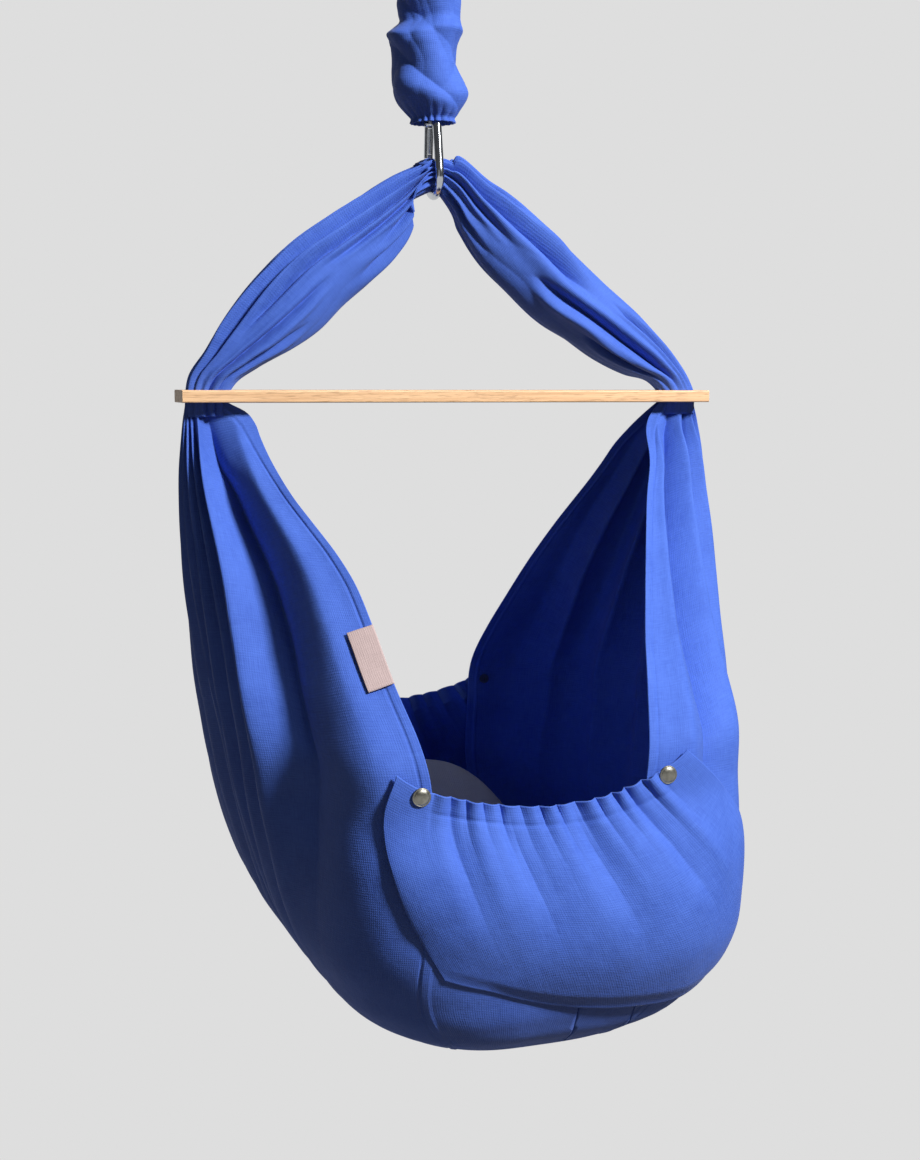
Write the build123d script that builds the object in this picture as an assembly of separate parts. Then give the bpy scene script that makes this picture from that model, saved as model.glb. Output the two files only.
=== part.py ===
from build123d import *
import math
import os

# Hanging fabric baby cradle: ball swivel, two snap hooks, extension spring in a gathered
# sleeve, wooden spreader bar and a sling of cotton canvas with two press-studded end panels.
# Millimetres, +Z up, +X along the spreader bar, origin at the centre of the top eye's bore.

# ---- swivel ----
EYE_BORE_R = 9.0
EYE_OUTER_R = 15.0
TOP_EYE_THICK = 8.0
LOWER_EYE_THICK = 6.0
LOWER_EYE_CHAMFER = 1.5
HOUSING_R = 12.0
HOUSING_TOP = -12.0
HOUSING_BOTTOM = -32.0
COUNTERBORE_R = 9.2
COUNTERBORE_TOP = -17.0
PIN_R = 4.0
PIN_HEAD_R = 8.0
PIN_HEAD_TOP = -18.0
PIN_HEAD_BOTTOM = -21.5
PIN_BOTTOM = -41.0
BALL_R = 1.4
BALL_COUNT = 8
BALL_RING_R = 6.1
BALL_Z = -23.2
RETAINER_TOP = -24.9
RETAINER_GAP = 0.05
PIN_GAP = 0.02
LOWER_BLOCK_TOP = -33.5
LOWER_EYE_Z = -50.3

# ---- snap hooks, both of one size ----
WIRE_R = 4.5
HOOK_LENGTH = 100.0
NARROW_R = 12.0
WIDE_R = 20.0
GATE_PIVOT = 10.0
GATE_END = 43.0
GATE_GAP = 0.5
TANG_THICK = 3.0
FORK_GAP = 3.6
TANG_R = 4.0
KNUCKLE_EXTRA = 0.4
KNUCKLE_INSET = 1.0
TONGUE_LENGTH = 4.0
TONGUE_DEEP = 6.0
TONGUE_OVERLAP = 0.5
RIVET_R = 1.5
RIVET_GAP = 0.05
REST_GAP = 0.3
EYE_REST_GAP = 0.5

# ---- spring ----
SPRING_WIRE_R = 1.8
SPRING_R = 19.0
SPRING_EYE_R = 12.0
SPRING_EYE_SPAN = 171.1
COIL_LENGTH = 135.0
COIL_PITCH = 5.4

# ---- sleeve: (height above the bar, outer radius) down one side ----
SLEEVE_WALL = 2.0
SLEEVE_PROFILE = [(271, 21), (280, 29), (292, 32), (312, 30), (330, 28), (352, 31), (380, 28),
                  (410, 30), (440, 28), (470, 31), (498, 30), (514, 26), (520, 24)]
ELASTIC_BAND_R = 1.2
ELASTIC_BAND_GAP = 0.4
ELASTIC_BAND_SHIFT = 1.0

# ---- spreader bar ----
BAR_DROP = 197.5
BAR_LENGTH = 546.0
BAR_DEPTH = 50.0
BAR_THICK = 12.0
BAR_TILT = 1.3
BAR_EDGE = 1.5
LOOP_OFFSET = 13.0
SLOT_X = 246.0
SLOT_LENGTH = 42.0
SLOT_WIDTH = 16.0
SLOT_GAP = 1.0

# ---- sling loop ----
BUNDLE_R = 15.0
SADDLE_R = 20.0
SADDLE_HALF_ANGLE = 42.0
# each: share of the way from saddle to slot, half height, half depth, slope in degrees
ARM_SECTIONS = [(0.15, 22, 17, 42), (0.35, 32, 22, 42), (0.55, 36, 24, 42), (0.75, 34, 21, 45),
                (0.90, 28, 14, 60)]
ARM_END = (23, 9)
ARM_END_RISE = 12.0
LEG_CLEAR = 1.0

# ---- cradle body: (depth below bar, half width, half length, corner power) ----
HULL = [(19, 266, 14, 2.0), (60, 270, 71, 2.0), (140, 270, 144, 2.0), (230, 266, 202, 2.4),
        (314, 258, 262, 5.0), (364, 250, 264, 5.0), (410, 241, 281, 4.0), (460, 230, 285, 4.0),
        (520, 216, 278, 4.0), (560, 194, 262, 3.6), (585, 160, 240, 3.2), (600, 115, 210, 3.0),
        (608, 60, 160, 2.6)]
RING_POINTS = 28
CLOTH = 2.4
SLOT_INNER_X = 222.0
HEM_TOP = 12.0
TAB_DEPTH = 334.0
END_HALF_WIDTH = 104.0
SEAM_DEPTH = 548.0
BASE_SEAM_LEFT = 28.0
BASE_SEAM_RIGHT = 86.0
SEAM_GAP = 0.8

# ---- end panels ----
FLAP_INNER = 3.8
FLAP_OUTER = 5.8
FLAP_EDGE_DEPTH = 340.0
FLAP_EDGE_SAG = 22.0
EDGE_STEPS = 8
FLAP_SIDE = [(98, 546), (125, 500), (150, 440), (150, 385), (134, 318)]
ELASTIC_INNER = 1.4
ELASTIC_OUTER = 2.8
ELASTIC_DROP = 2.0
ELASTIC_HALF = 96.0
ELASTIC_WIDTH = 12.0

# ---- press studs: along the outward axis, from the side panel's outer face ----
SNAP_X = 116.0
SNAP_DEPTH = 339.0
SNAP_LEVEL = 4
CAP_R = 7.5
CAP_STEP = 1.5
CAP_LEVELS = (6.9, 8.1, 8.7)
STEM_R = 2.0
STEM_START = 3.1
STEM_HOLE_R = 2.2
STEM_HOLE = (2, 9)
SOCKET_R = (5.4, 2.9)
SOCKET_LEVELS = (1.4, 2.6)
STUD_FOOT = (4.5, 0.75, 1.15)
KNOB_R = 2.4
KNOB_TOP = 2.9
POST_R = 1.5
POST_START = -3.6
POST_HOLE_R = 1.6
POST_HOLE = (-6, 4)
BACK_R = (5.5, 1.55)
BACK_START = -4.4
THROUGH = 1.0

# ---- mattress ----
MATTRESS_HALF_WIDTH = 135.0
MATTRESS_HALF_LENGTH = 250.0
MATTRESS_THICK = 60.0
MATTRESS_LOW = 583.0
MATTRESS_RISE = 120.0
MATTRESS_CORNER = 90.0
COVER_WALL = 1.8
CORE_INSET = 2.2
COVER_SLIT = 4.0
PAD_STEPS = 12
PAD_CORNER_STEPS = 6

# ---- side label ----
LABEL_TOP = 206.0
LABEL_LENGTH = 45.0
LABEL_WIDTH = 22.0
LABEL_INSET = 1.0
LABEL_LEVELS = (0.5, 1.4)

# ---- places worked out from the sizes above, going down from the origin ----
UPPER_HOOK_TOP = LOWER_EYE_Z - (EYE_BORE_R - WIRE_R) + EYE_REST_GAP
HOOK_SPAN = HOOK_LENGTH - 2 * WIRE_R
RING_STEP = WIRE_R + SPRING_WIRE_R + REST_GAP
SPRING_TOP_EYE_Z = UPPER_HOOK_TOP - HOOK_SPAN + RING_STEP - SPRING_EYE_R
SPRING_LOW_EYE_Z = SPRING_TOP_EYE_Z - SPRING_EYE_SPAN
LOWER_HOOK_TOP = SPRING_LOW_EYE_Z - SPRING_EYE_R + RING_STEP
LOWER_HOOK_BOTTOM = LOWER_HOOK_TOP - HOOK_SPAN
BAR_Z = LOWER_HOOK_BOTTOM - BAR_DROP
FAR = 400.0


def save(shape, name):
    """Write one named piece."""
    shape.label = name
    export_step(shape, "parts/" + name + ".step")


def bar(x, y, depth):
    """A point given from the bar's centre, with depth measured down."""
    return (LOOP_OFFSET + x, y, BAR_Z - depth)


def slab(x0, x1, y0, y1, z0, z1):
    """A box between two corners."""
    return Pos((x0 + x1) / 2, (y0 + y1) / 2, (z0 + z1) / 2) * Box(x1 - x0, y1 - y0, z1 - z0)


def upright(radius, low, high):
    """A vertical cylinder on the hang line, between two heights."""
    return Pos(0, 0, (low + high) / 2) * Cylinder(radius, high - low)


def rod(radius, start, end):
    """A straight round rod between two points."""
    line = Line(start, end)
    return sweep(Plane(origin=start, z_dir=line % 0) * Circle(radius), path=line)


# ---------------------------------------------------------------- swivel

def eye_plate(z, thick):
    """A round plate standing across Y, before its bore is cut."""
    return Pos(0, 0, z) * Rot(90, 0, 0) * Cylinder(EYE_OUTER_R, thick)


def eye_bore(z):
    return Pos(0, 0, z) * Rot(90, 0, 0) * Cylinder(EYE_BORE_R, 4 * EYE_OUTER_R)


def swivel_housing():
    """Top eye with the cup that holds the bearing."""
    body = eye_plate(0, TOP_EYE_THICK) + upright(HOUSING_R, HOUSING_BOTTOM, HOUSING_TOP)
    body -= upright(COUNTERBORE_R, HOUSING_BOTTOM, COUNTERBORE_TOP)
    return body - eye_bore(0)


def swivel_retainer():
    """Ring pressed into the cup below the balls."""
    ring = upright(COUNTERBORE_R - RETAINER_GAP, HOUSING_BOTTOM, RETAINER_TOP)
    return ring - upright(PIN_R + REST_GAP, HOUSING_BOTTOM, RETAINER_TOP)


def swivel_pin():
    """Headed pin that turns on the balls."""
    head = upright(PIN_HEAD_R, PIN_HEAD_BOTTOM, PIN_HEAD_TOP)
    return head + upright(PIN_R, PIN_BOTTOM, PIN_HEAD_BOTTOM)


def swivel_balls():
    balls = []
    for i in range(BALL_COUNT):
        angle = 2 * math.pi * i / BALL_COUNT
        place = Pos(BALL_RING_R * math.cos(angle), BALL_RING_R * math.sin(angle), BALL_Z)
        balls.append(place * Sphere(BALL_R))
    return Compound(children=balls)


def swivel_bottom_eye():
    """Lower eye riveted on the pin, its bore eased so that the hook's bend can turn in it."""
    block = upright(HOUSING_R - 1, PIN_BOTTOM, LOWER_BLOCK_TOP)
    body = eye_plate(LOWER_EYE_Z, LOWER_EYE_THICK) + block
    body -= eye_bore(LOWER_EYE_Z)
    for side in (-1, 1):
        cone = Cone(EYE_BORE_R + 2 * LOWER_EYE_CHAMFER, EYE_BORE_R, 2 * LOWER_EYE_CHAMFER)
        body -= Pos(0, side * LOWER_EYE_THICK / 2, LOWER_EYE_Z) * Rot(side * 90, 0, 0) * cone
    return body - upright(PIN_R + PIN_GAP, PIN_BOTTOM - LOWER_EYE_THICK, LOWER_BLOCK_TOP)


# ---------------------------------------------------------------- snap hooks

def hook_angle():
    """Lean of each straight leg from the vertical."""
    return math.asin((WIDE_R - NARROW_R) / (HOOK_SPAN - WIDE_R - NARROW_R))


def leg_point(top, along, side=1):
    """A point on a leg, measured down from where the narrow bend ends."""
    lean = hook_angle()
    y = NARROW_R * math.cos(lean) + along * math.sin(lean)
    z = top - NARROW_R + NARROW_R * math.sin(lean) - along * math.cos(lean)
    return (0, side * y, z)


def leg_length():
    return (HOOK_SPAN - WIDE_R - NARROW_R) * math.cos(hook_angle())


def along_leg(top, along):
    """A plane whose Z runs down the gate's leg and whose X is the hook's X."""
    return Plane(origin=leg_point(top, along), x_dir=(1, 0, 0),
                 z_dir=(0, math.sin(hook_angle()), -math.cos(hook_angle())))


def hook_body(top):
    """Bent wire from the gate's nose round the wide bend, up and over to the gate's pivot."""
    length = leg_length()
    bottom = (0, 0, top - HOOK_SPAN)
    nose = leg_point(top, GATE_END + GATE_GAP)
    stub = leg_point(top, GATE_PIVOT - TANG_R - 2 * GATE_GAP)
    path = Line(nose, leg_point(top, length))
    path += ThreePointArc(leg_point(top, length), bottom, leg_point(top, length, -1))
    path += Line(leg_point(top, length, -1), leg_point(top, 0, -1))
    path += ThreePointArc(leg_point(top, 0, -1), (0, 0, top), leg_point(top, 0))
    path += Line(leg_point(top, 0), stub)
    body = sweep(along_leg(top, GATE_END + GATE_GAP) * Circle(WIRE_R), path=path)
    reach = TANG_R + 4 * GATE_GAP
    tang = along_leg(top, GATE_PIVOT - reach / 2) * Box(TANG_THICK, 2 * TANG_R, reach)
    tang += along_leg(top, GATE_PIVOT) * Rot(0, 90, 0) * Cylinder(TANG_R, TANG_THICK)
    tongue_place = GATE_END + GATE_GAP - TONGUE_LENGTH / 2 + TONGUE_OVERLAP / 2
    tongue_box = Box(TANG_THICK, TONGUE_DEEP, TONGUE_LENGTH + TONGUE_OVERLAP)
    tongue = along_leg(top, tongue_place) * tongue_box
    hole = along_leg(top, GATE_PIVOT) * Rot(0, 90, 0) * Cylinder(RIVET_R, FAR)
    return body + tang + tongue - hole


def hook_gate(top):
    """Straight gate, forked over the tang at its pivot and over the nose at its free end."""
    length = GATE_END - GATE_PIVOT
    gate = along_leg(top, GATE_PIVOT + length / 2) * Cylinder(WIRE_R, length)
    knuckle = Cylinder(TANG_R + KNUCKLE_EXTRA, 2 * WIRE_R - KNUCKLE_INSET)
    gate += along_leg(top, GATE_PIVOT) * Rot(0, 90, 0) * knuckle
    fork = 2 * (TANG_R + GATE_GAP)
    gate -= along_leg(top, GATE_PIVOT) * Box(FORK_GAP, 3 * WIRE_R, fork)
    nose_slot = Box(FORK_GAP, 3 * WIRE_R, TONGUE_LENGTH)
    gate -= along_leg(top, GATE_END - TONGUE_LENGTH / 2) * nose_slot
    gate -= along_leg(top, GATE_PIVOT) * Rot(0, 90, 0) * Cylinder(RIVET_R + RIVET_GAP, FAR)
    return gate


def hook_rivet(top):
    return along_leg(top, GATE_PIVOT) * Rot(0, 90, 0) * Cylinder(RIVET_R, 2 * WIRE_R)


# ---------------------------------------------------------------- spring and sleeve

def suspension_spring():
    """Open coil with a round eye at each end, standing across Y."""
    middle = (SPRING_TOP_EYE_Z + SPRING_LOW_EYE_Z) / 2
    low = middle - COIL_LENGTH / 2
    high = middle + COIL_LENGTH / 2
    helix = Pos(0, 0, low) * Helix(COIL_PITCH, COIL_LENGTH, SPRING_R)
    coil = sweep(Plane(origin=helix @ 0, z_dir=helix % 0) * Circle(SPRING_WIRE_R), path=helix)
    ends = ((helix @ 0, SPRING_LOW_EYE_Z, low), (helix @ 1, SPRING_TOP_EYE_Z, high))
    for end, eye_z, edge in ends:
        toward = 1 if eye_z < middle else -1
        neck = (0, 0, eye_z + toward * SPRING_EYE_R)
        coil += Pos(0, 0, eye_z) * Rot(90, 0, 0) * Torus(SPRING_EYE_R, SPRING_WIRE_R)
        coil += rod(SPRING_WIRE_R, (end.X, end.Y, edge), neck)
    return coil


def spring_sleeve():
    """Gathered cloth tube over the spring, drawn in at both mouths."""
    outer = [(r, z) for z, r in SLEEVE_PROFILE]
    inner = [(r - SLEEVE_WALL, z) for z, r in reversed(SLEEVE_PROFILE)]
    wall = Polyline(*[(r, 0, BAR_Z + z) for r, z in outer + inner], close=True)
    return revolve(make_face(wall), axis=Axis.Z)


def sleeve_elastic(height, radius):
    """Round elastic cord lying against the outside of a mouth."""
    return Pos(0, 0, BAR_Z + height) * Torus(radius + ELASTIC_BAND_R + ELASTIC_BAND_GAP, ELASTIC_BAND_R)


# ---------------------------------------------------------------- bar and sling loop

def tilt_height(x):
    """Height of the tilted bar's centre line at a place along it."""
    return -x * math.tan(math.radians(BAR_TILT))


def spreader_bar():
    board = Box(BAR_LENGTH, BAR_DEPTH, BAR_THICK)
    board = fillet(board.edges().filter_by(Axis.X), BAR_EDGE)
    slot = extrude(SlotOverall(SLOT_LENGTH, SLOT_WIDTH), 2 * BAR_THICK)
    for side in (-1, 1):
        board -= Pos(side * SLOT_X, 0, -BAR_THICK) * slot
    return Pos(*bar(0, 0, 0)) * Rot(0, BAR_TILT, 0) * board


def arm(side):
    """One arm of the sling: the gathered bundle opens out, narrows and drops through the slot."""
    angle = math.radians(SADDLE_HALF_ANGLE)
    start = (side * SADDLE_R * math.sin(angle), LOWER_HOOK_BOTTOM + SADDLE_R * math.cos(angle))
    slot_x = side * SLOT_X
    end_x, _, end_z = bar(slot_x, 0, -tilt_height(slot_x) - ARM_END_RISE)
    faces = [arm_section(start, side, SADDLE_HALF_ANGLE, BUNDLE_R, BUNDLE_R)]
    for share, high, deep, slope in ARM_SECTIONS:
        centre = (start[0] + share * (end_x - start[0]), start[1] + share * (end_z - start[1]))
        faces.append(arm_section(centre, side, slope, high, deep))
    faces.append(arm_section((end_x, end_z), side, 90, *ARM_END))
    tail = end_z - (BAR_Z - HULL[0][0] + LEG_CLEAR)
    plug = SlotOverall(SLOT_LENGTH - 2 * SLOT_GAP, SLOT_WIDTH - 2 * SLOT_GAP)
    return loft(faces) + Pos(end_x, 0, end_z - tail) * extrude(plug, tail)


def arm_section(centre, side, slope, high, deep):
    """An ellipse square to the arm's run, which slopes down and away from the hook."""
    run = math.radians(slope)
    along = (side * math.cos(run), 0, -math.sin(run))
    across = (side * math.sin(run), 0, math.cos(run))
    return Plane(origin=(centre[0], 0, centre[1]), x_dir=across, z_dir=along) * Ellipse(high, deep)


def sling_loop():
    """Saddle over the hook's wire and the two arms, one cloth."""
    angle = math.radians(SADDLE_HALF_ANGLE)
    left = (-SADDLE_R * math.sin(angle), 0, LOWER_HOOK_BOTTOM + SADDLE_R * math.cos(angle))
    right = (-left[0], 0, left[2])
    saddle = ThreePointArc(left, (0, 0, LOWER_HOOK_BOTTOM + SADDLE_R), right)
    bundle = sweep(Plane(origin=left, z_dir=saddle % 0) * Circle(BUNDLE_R), path=saddle)
    return bundle + arm(-1) + arm(1)


# ---------------------------------------------------------------- cradle body

def ring_points(depth, half_width, half_length, power):
    """A rounded rectangle as the curve |x/a|^n + |y/b|^n = 1."""
    points = []
    for i in range(RING_POINTS):
        t = 2 * math.pi * (i + 0.5) / RING_POINTS
        c = math.cos(t)
        s = math.sin(t)
        x = math.copysign(abs(c) ** (2 / power), c) * half_width
        y = math.copysign(abs(s) ** (2 / power), s) * half_length
        points.append(bar(x, y, depth))
    return points


def facet(a, b, c):
    return Face(Wire.make_polygon([a, b, c], close=True))


def hull(offset):
    """The body's outer form in flat facets, grown or shrunk by an offset."""
    rings = []
    for depth, half_width, half_length, power in HULL:
        rings.append(ring_points(depth, half_width + offset, half_length + offset, power))
    faces = [Face(Wire.make_polygon(ring, close=True)) for ring in (rings[0], rings[-1])]
    for upper, lower in zip(rings, rings[1:]):
        for i in range(RING_POINTS):
            j = (i + 1) % RING_POINTS
            faces.append(facet(upper[i], upper[j], lower[j]))
            faces.append(facet(upper[i], lower[j], lower[i]))
    return Solid(Shell(faces))


def lowered_hull(offset):
    """The space inside the body: shrunk, raised off the base and closed."""
    return Pos(0, 0, -offset) * hull(offset)


def outline_prism(points, y0, y1):
    """A solid with an outline in the XZ plane (x from the bar's centre, depth), along Y."""
    corners = [bar(x, y0, depth) for x, depth in points]
    face = make_face(Polyline(*corners, close=True))
    return extrude(face, amount=y1 - y0, dir=(0, 1, 0))


def body_shell():
    """Side cloths and base with the middle and both ends cut away."""
    shell = hull(0) - lowered_hull(-CLOTH)
    half = [(SLOT_INNER_X, -30), (SLOT_INNER_X, HEM_TOP), (END_HALF_WIDTH, TAB_DEPTH),
            (END_HALF_WIDTH, SEAM_DEPTH)]
    opening = half + [(-x, depth) for x, depth in reversed(half)]
    return shell - outline_prism(opening, -FAR, FAR)


def side_part(shell, x0, x1):
    """The part of the shell between two places along the bar."""
    low = BAR_Z - FAR - FAR
    return shell & slab(LOOP_OFFSET + x0, LOOP_OFFSET + x1, -FAR, FAR, low, BAR_Z)


def facet_y(level):
    """Half length of one facet ring at the press studs."""
    ring = ring_points(*HULL[level])
    for here, there in zip(ring, ring[1:]):
        x0 = here[0] - LOOP_OFFSET
        x1 = there[0] - LOOP_OFFSET
        if x1 <= SNAP_X <= x0 and here[1] > 0:
            return here[1] + (there[1] - here[1]) * (SNAP_X - x0) / (x1 - x0)


def snap_axis_y():
    """Distance from the middle plane to the body's outer face at a press stud."""
    share = (SNAP_DEPTH - HULL[SNAP_LEVEL][0]) / (HULL[SNAP_LEVEL + 1][0] - HULL[SNAP_LEVEL][0])
    return facet_y(SNAP_LEVEL) * (1 - share) + facet_y(SNAP_LEVEL + 1) * share


def snap_disc(radius, low, high, end):
    """Discs square to Y at both corners of one end; low and high run outward."""
    base = snap_axis_y()
    discs = []
    for side in (-1, 1):
        x, _, z = bar(side * SNAP_X, 0, SNAP_DEPTH)
        centre = end * (base + (low + high) / 2)
        discs.append(Pos(x, centre, z) * Rot(90, 0, 0) * Cylinder(radius, high - low))
    return discs


def paired(groups):
    """Fuse the pieces of each side, and keep the two sides as separate solids."""
    solids = []
    for left_right in zip(*groups):
        solid = left_right[0]
        for piece in left_right[1:]:
            solid = solid + piece
        solids.append(solid)
    return Compound(children=solids)


def snap_caps(end):
    """Domed cap with its stem through the end panel."""
    low, step, top = CAP_LEVELS
    rim = snap_disc(CAP_R, low, step, end)
    crown = snap_disc(CAP_R - CAP_STEP, step, top, end)
    return paired([rim, crown, snap_disc(STEM_R, STEM_START, low, end)])


def snap_rings(radii, low, high, end):
    """Flat rings, one at each corner of one end."""
    outer, inner = radii
    holes = snap_disc(inner, low - THROUGH, high + THROUGH, end)
    solids = [disc - hole for disc, hole in zip(snap_disc(outer, low, high, end), holes)]
    return Compound(children=solids)


def snap_sockets(end):
    """Ring that grips the stud."""
    return snap_rings(SOCKET_R, *SOCKET_LEVELS, end)


def snap_studs(end):
    """Knob on the side panel, with its post through the cloth."""
    foot_r, foot_low, foot_high = STUD_FOOT
    knob = snap_disc(KNOB_R, foot_high, KNOB_TOP, end)
    post = snap_disc(POST_R, POST_START, foot_low, end)
    return paired([snap_disc(foot_r, foot_low, foot_high, end), knob, post])


def snap_backs(end):
    """Flat back ring inside the side panel, round the post."""
    return snap_rings(BACK_R, BACK_START, POST_START, end)


def cut_all(shape, tools):
    for tool in tools:
        shape = shape - tool
    return shape


def end_span(end):
    """Y limits of one end of the body."""
    return (-FAR, 0) if end < 0 else (0, FAR)


def edge_arc(half, depth):
    """Points along an edge that sags between its two ends, as a parabola."""
    points = []
    for i in range(EDGE_STEPS + 1):
        x = half * (1 - 2 * i / EDGE_STEPS)
        points.append((x, depth + FLAP_EDGE_SAG * (1 - (x / END_HALF_WIDTH) ** 2)))
    return points


def end_panel(end):
    """End cloth outside the side panels, with a sagging elastic edge and two tabs."""
    sheet = hull(FLAP_OUTER) - hull(FLAP_INNER)
    edge = edge_arc(END_HALF_WIDTH, FLAP_EDGE_DEPTH)
    outline = FLAP_SIDE + edge + [(-x, depth) for x, depth in reversed(FLAP_SIDE)]
    panel = sheet & outline_prism(outline, *end_span(end))
    return cut_all(panel, snap_disc(STEM_HOLE_R, *STEM_HOLE, end))


def end_elastic(end):
    """Flat elastic under the edge, inside the end panel."""
    sheet = hull(ELASTIC_OUTER) - hull(ELASTIC_INNER)
    upper = edge_arc(ELASTIC_HALF, FLAP_EDGE_DEPTH + ELASTIC_DROP)
    lower = edge_arc(ELASTIC_HALF, FLAP_EDGE_DEPTH + ELASTIC_DROP + ELASTIC_WIDTH)
    return sheet & outline_prism(upper + list(reversed(lower)), *end_span(end))


def side_label():
    """Small woven tab on the left side panel, along its front hem."""
    slope = (SLOT_INNER_X - END_HALF_WIDTH) / (TAB_DEPTH - HEM_TOP)
    length = math.hypot(1, slope)
    drop = LABEL_LENGTH / length
    out = LABEL_WIDTH / length
    x = -(SLOT_INNER_X - slope * (LABEL_TOP - HEM_TOP)) - LABEL_INSET
    corner = (x, LABEL_TOP)
    below = (x + slope * drop, LABEL_TOP + drop)
    outer = (x - out, LABEL_TOP + slope * out)
    outline = [corner, below, (below[0] - out, below[1] + slope * out), outer]
    low, high = LABEL_LEVELS
    sheet = hull(high) - hull(low)
    return sheet & outline_prism(outline, -FAR, 0)


# ---------------------------------------------------------------- mattress

def pad_line(depth):
    """Points along a line that rises towards both ends of the mattress, as a parabola."""
    points = []
    for i in range(PAD_STEPS + 1):
        y = MATTRESS_HALF_LENGTH * (2 * i / PAD_STEPS - 1)
        points.append(bar(0, y, depth - MATTRESS_RISE * (y / MATTRESS_HALF_LENGTH) ** 2))
    return points


def pad_plan(width, length, corner):
    """Plan outline with corners rounded in short straight steps."""
    points = []
    for i in range(4 * PAD_CORNER_STEPS):
        quarter, step = divmod(i, PAD_CORNER_STEPS)
        angle = math.pi / 2 * (quarter + step / (PAD_CORNER_STEPS - 1))
        side_x = 1 if quarter in (0, 3) else -1
        side_y = 1 if quarter in (0, 1) else -1
        x = side_x * (width - corner) + corner * math.cos(angle)
        y = side_y * (length - corner) + corner * math.sin(angle)
        points.append((x, y))
    return points


def curved_slab(inset):
    """A pad that rises towards both ends, with round corners in plan."""
    under = pad_line(MATTRESS_LOW - inset)
    top = pad_line(MATTRESS_LOW - MATTRESS_THICK + inset)
    width = MATTRESS_HALF_WIDTH - inset
    face = Pos(-width, 0, 0) * make_face(Polyline(*under, *reversed(top), close=True))
    pad = extrude(face, amount=2 * width, dir=(1, 0, 0))
    plan = pad_plan(width, MATTRESS_HALF_LENGTH - inset, MATTRESS_CORNER - inset)
    floor = [bar(x, y, MATTRESS_LOW + MATTRESS_THICK) for x, y in plan]
    return pad & extrude(make_face(Polyline(*floor, close=True)), FAR, dir=(0, 0, 1))


def mattress_cover():
    """Cloth cover round the core, open along a slit at the head end."""
    shell = curved_slab(0) - curved_slab(COVER_WALL)
    mid = MATTRESS_LOW - MATTRESS_RISE - MATTRESS_THICK / 2
    x0, _, z0 = bar(-MATTRESS_CORNER / 3, 0, mid + COVER_SLIT / 2)
    x1, _, z1 = bar(MATTRESS_CORNER / 3, 0, mid - COVER_SLIT / 2)
    return shell - slab(x0, x1, MATTRESS_HALF_LENGTH - 2 * CORE_INSET, FAR, z0, z1)


def main():
    os.makedirs("parts", exist_ok=True)

    save(swivel_housing(), "swivel_housing")
    save(swivel_retainer(), "swivel_retainer")
    save(swivel_pin(), "swivel_pin")
    save(swivel_balls(), "swivel_balls")
    save(swivel_bottom_eye(), "swivel_bottom_eye")

    for name, top in (("upper", UPPER_HOOK_TOP), ("lower", LOWER_HOOK_TOP)):
        save(hook_body(top), name + "_snap_hook")
        save(hook_gate(top), name + "_gate")
        save(hook_rivet(top), name + "_gate_rivet")

    save(suspension_spring(), "suspension_spring")
    save(spring_sleeve(), "spring_sleeve")
    low_mouth, low_r = SLEEVE_PROFILE[0]
    high_mouth, high_r = SLEEVE_PROFILE[-1]
    save(sleeve_elastic(low_mouth - ELASTIC_BAND_SHIFT, low_r), "sleeve_elastic_bottom")
    save(sleeve_elastic(high_mouth + ELASTIC_BAND_SHIFT, high_r), "sleeve_elastic_top")

    save(spreader_bar(), "spreader_bar")
    save(sling_loop(), "sling_loop")

    holes = snap_disc(POST_HOLE_R, *POST_HOLE, -1) + snap_disc(POST_HOLE_R, *POST_HOLE, 1)
    shell = cut_all(body_shell(), holes)
    save(side_part(shell, -FAR, BASE_SEAM_LEFT - SEAM_GAP / 2), "left_side_panel")
    save(side_part(shell, BASE_SEAM_LEFT + SEAM_GAP / 2, BASE_SEAM_RIGHT - SEAM_GAP / 2), "base_panel")
    save(side_part(shell, BASE_SEAM_RIGHT + SEAM_GAP / 2, FAR), "right_side_panel")
    save(side_label(), "side_label")

    for name, end in (("front", -1), ("rear", 1)):
        save(end_panel(end), name + "_end_panel")
        save(end_elastic(end), name + "_elastic")
        save(snap_caps(end), name + "_snap_caps")
        save(snap_sockets(end), name + "_snap_sockets")
        save(snap_studs(end), name + "_snap_studs")
        save(snap_backs(end), name + "_snap_backs")

    save(mattress_cover(), "mattress_cover")
    save(curved_slab(CORE_INSET), "mattress_core")


main()
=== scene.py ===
import math

import bmesh
import bpy
import numpy as np
from bpy.props import FloatProperty, FloatVectorProperty, IntProperty, PointerProperty
from mathutils import Matrix, Vector


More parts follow.
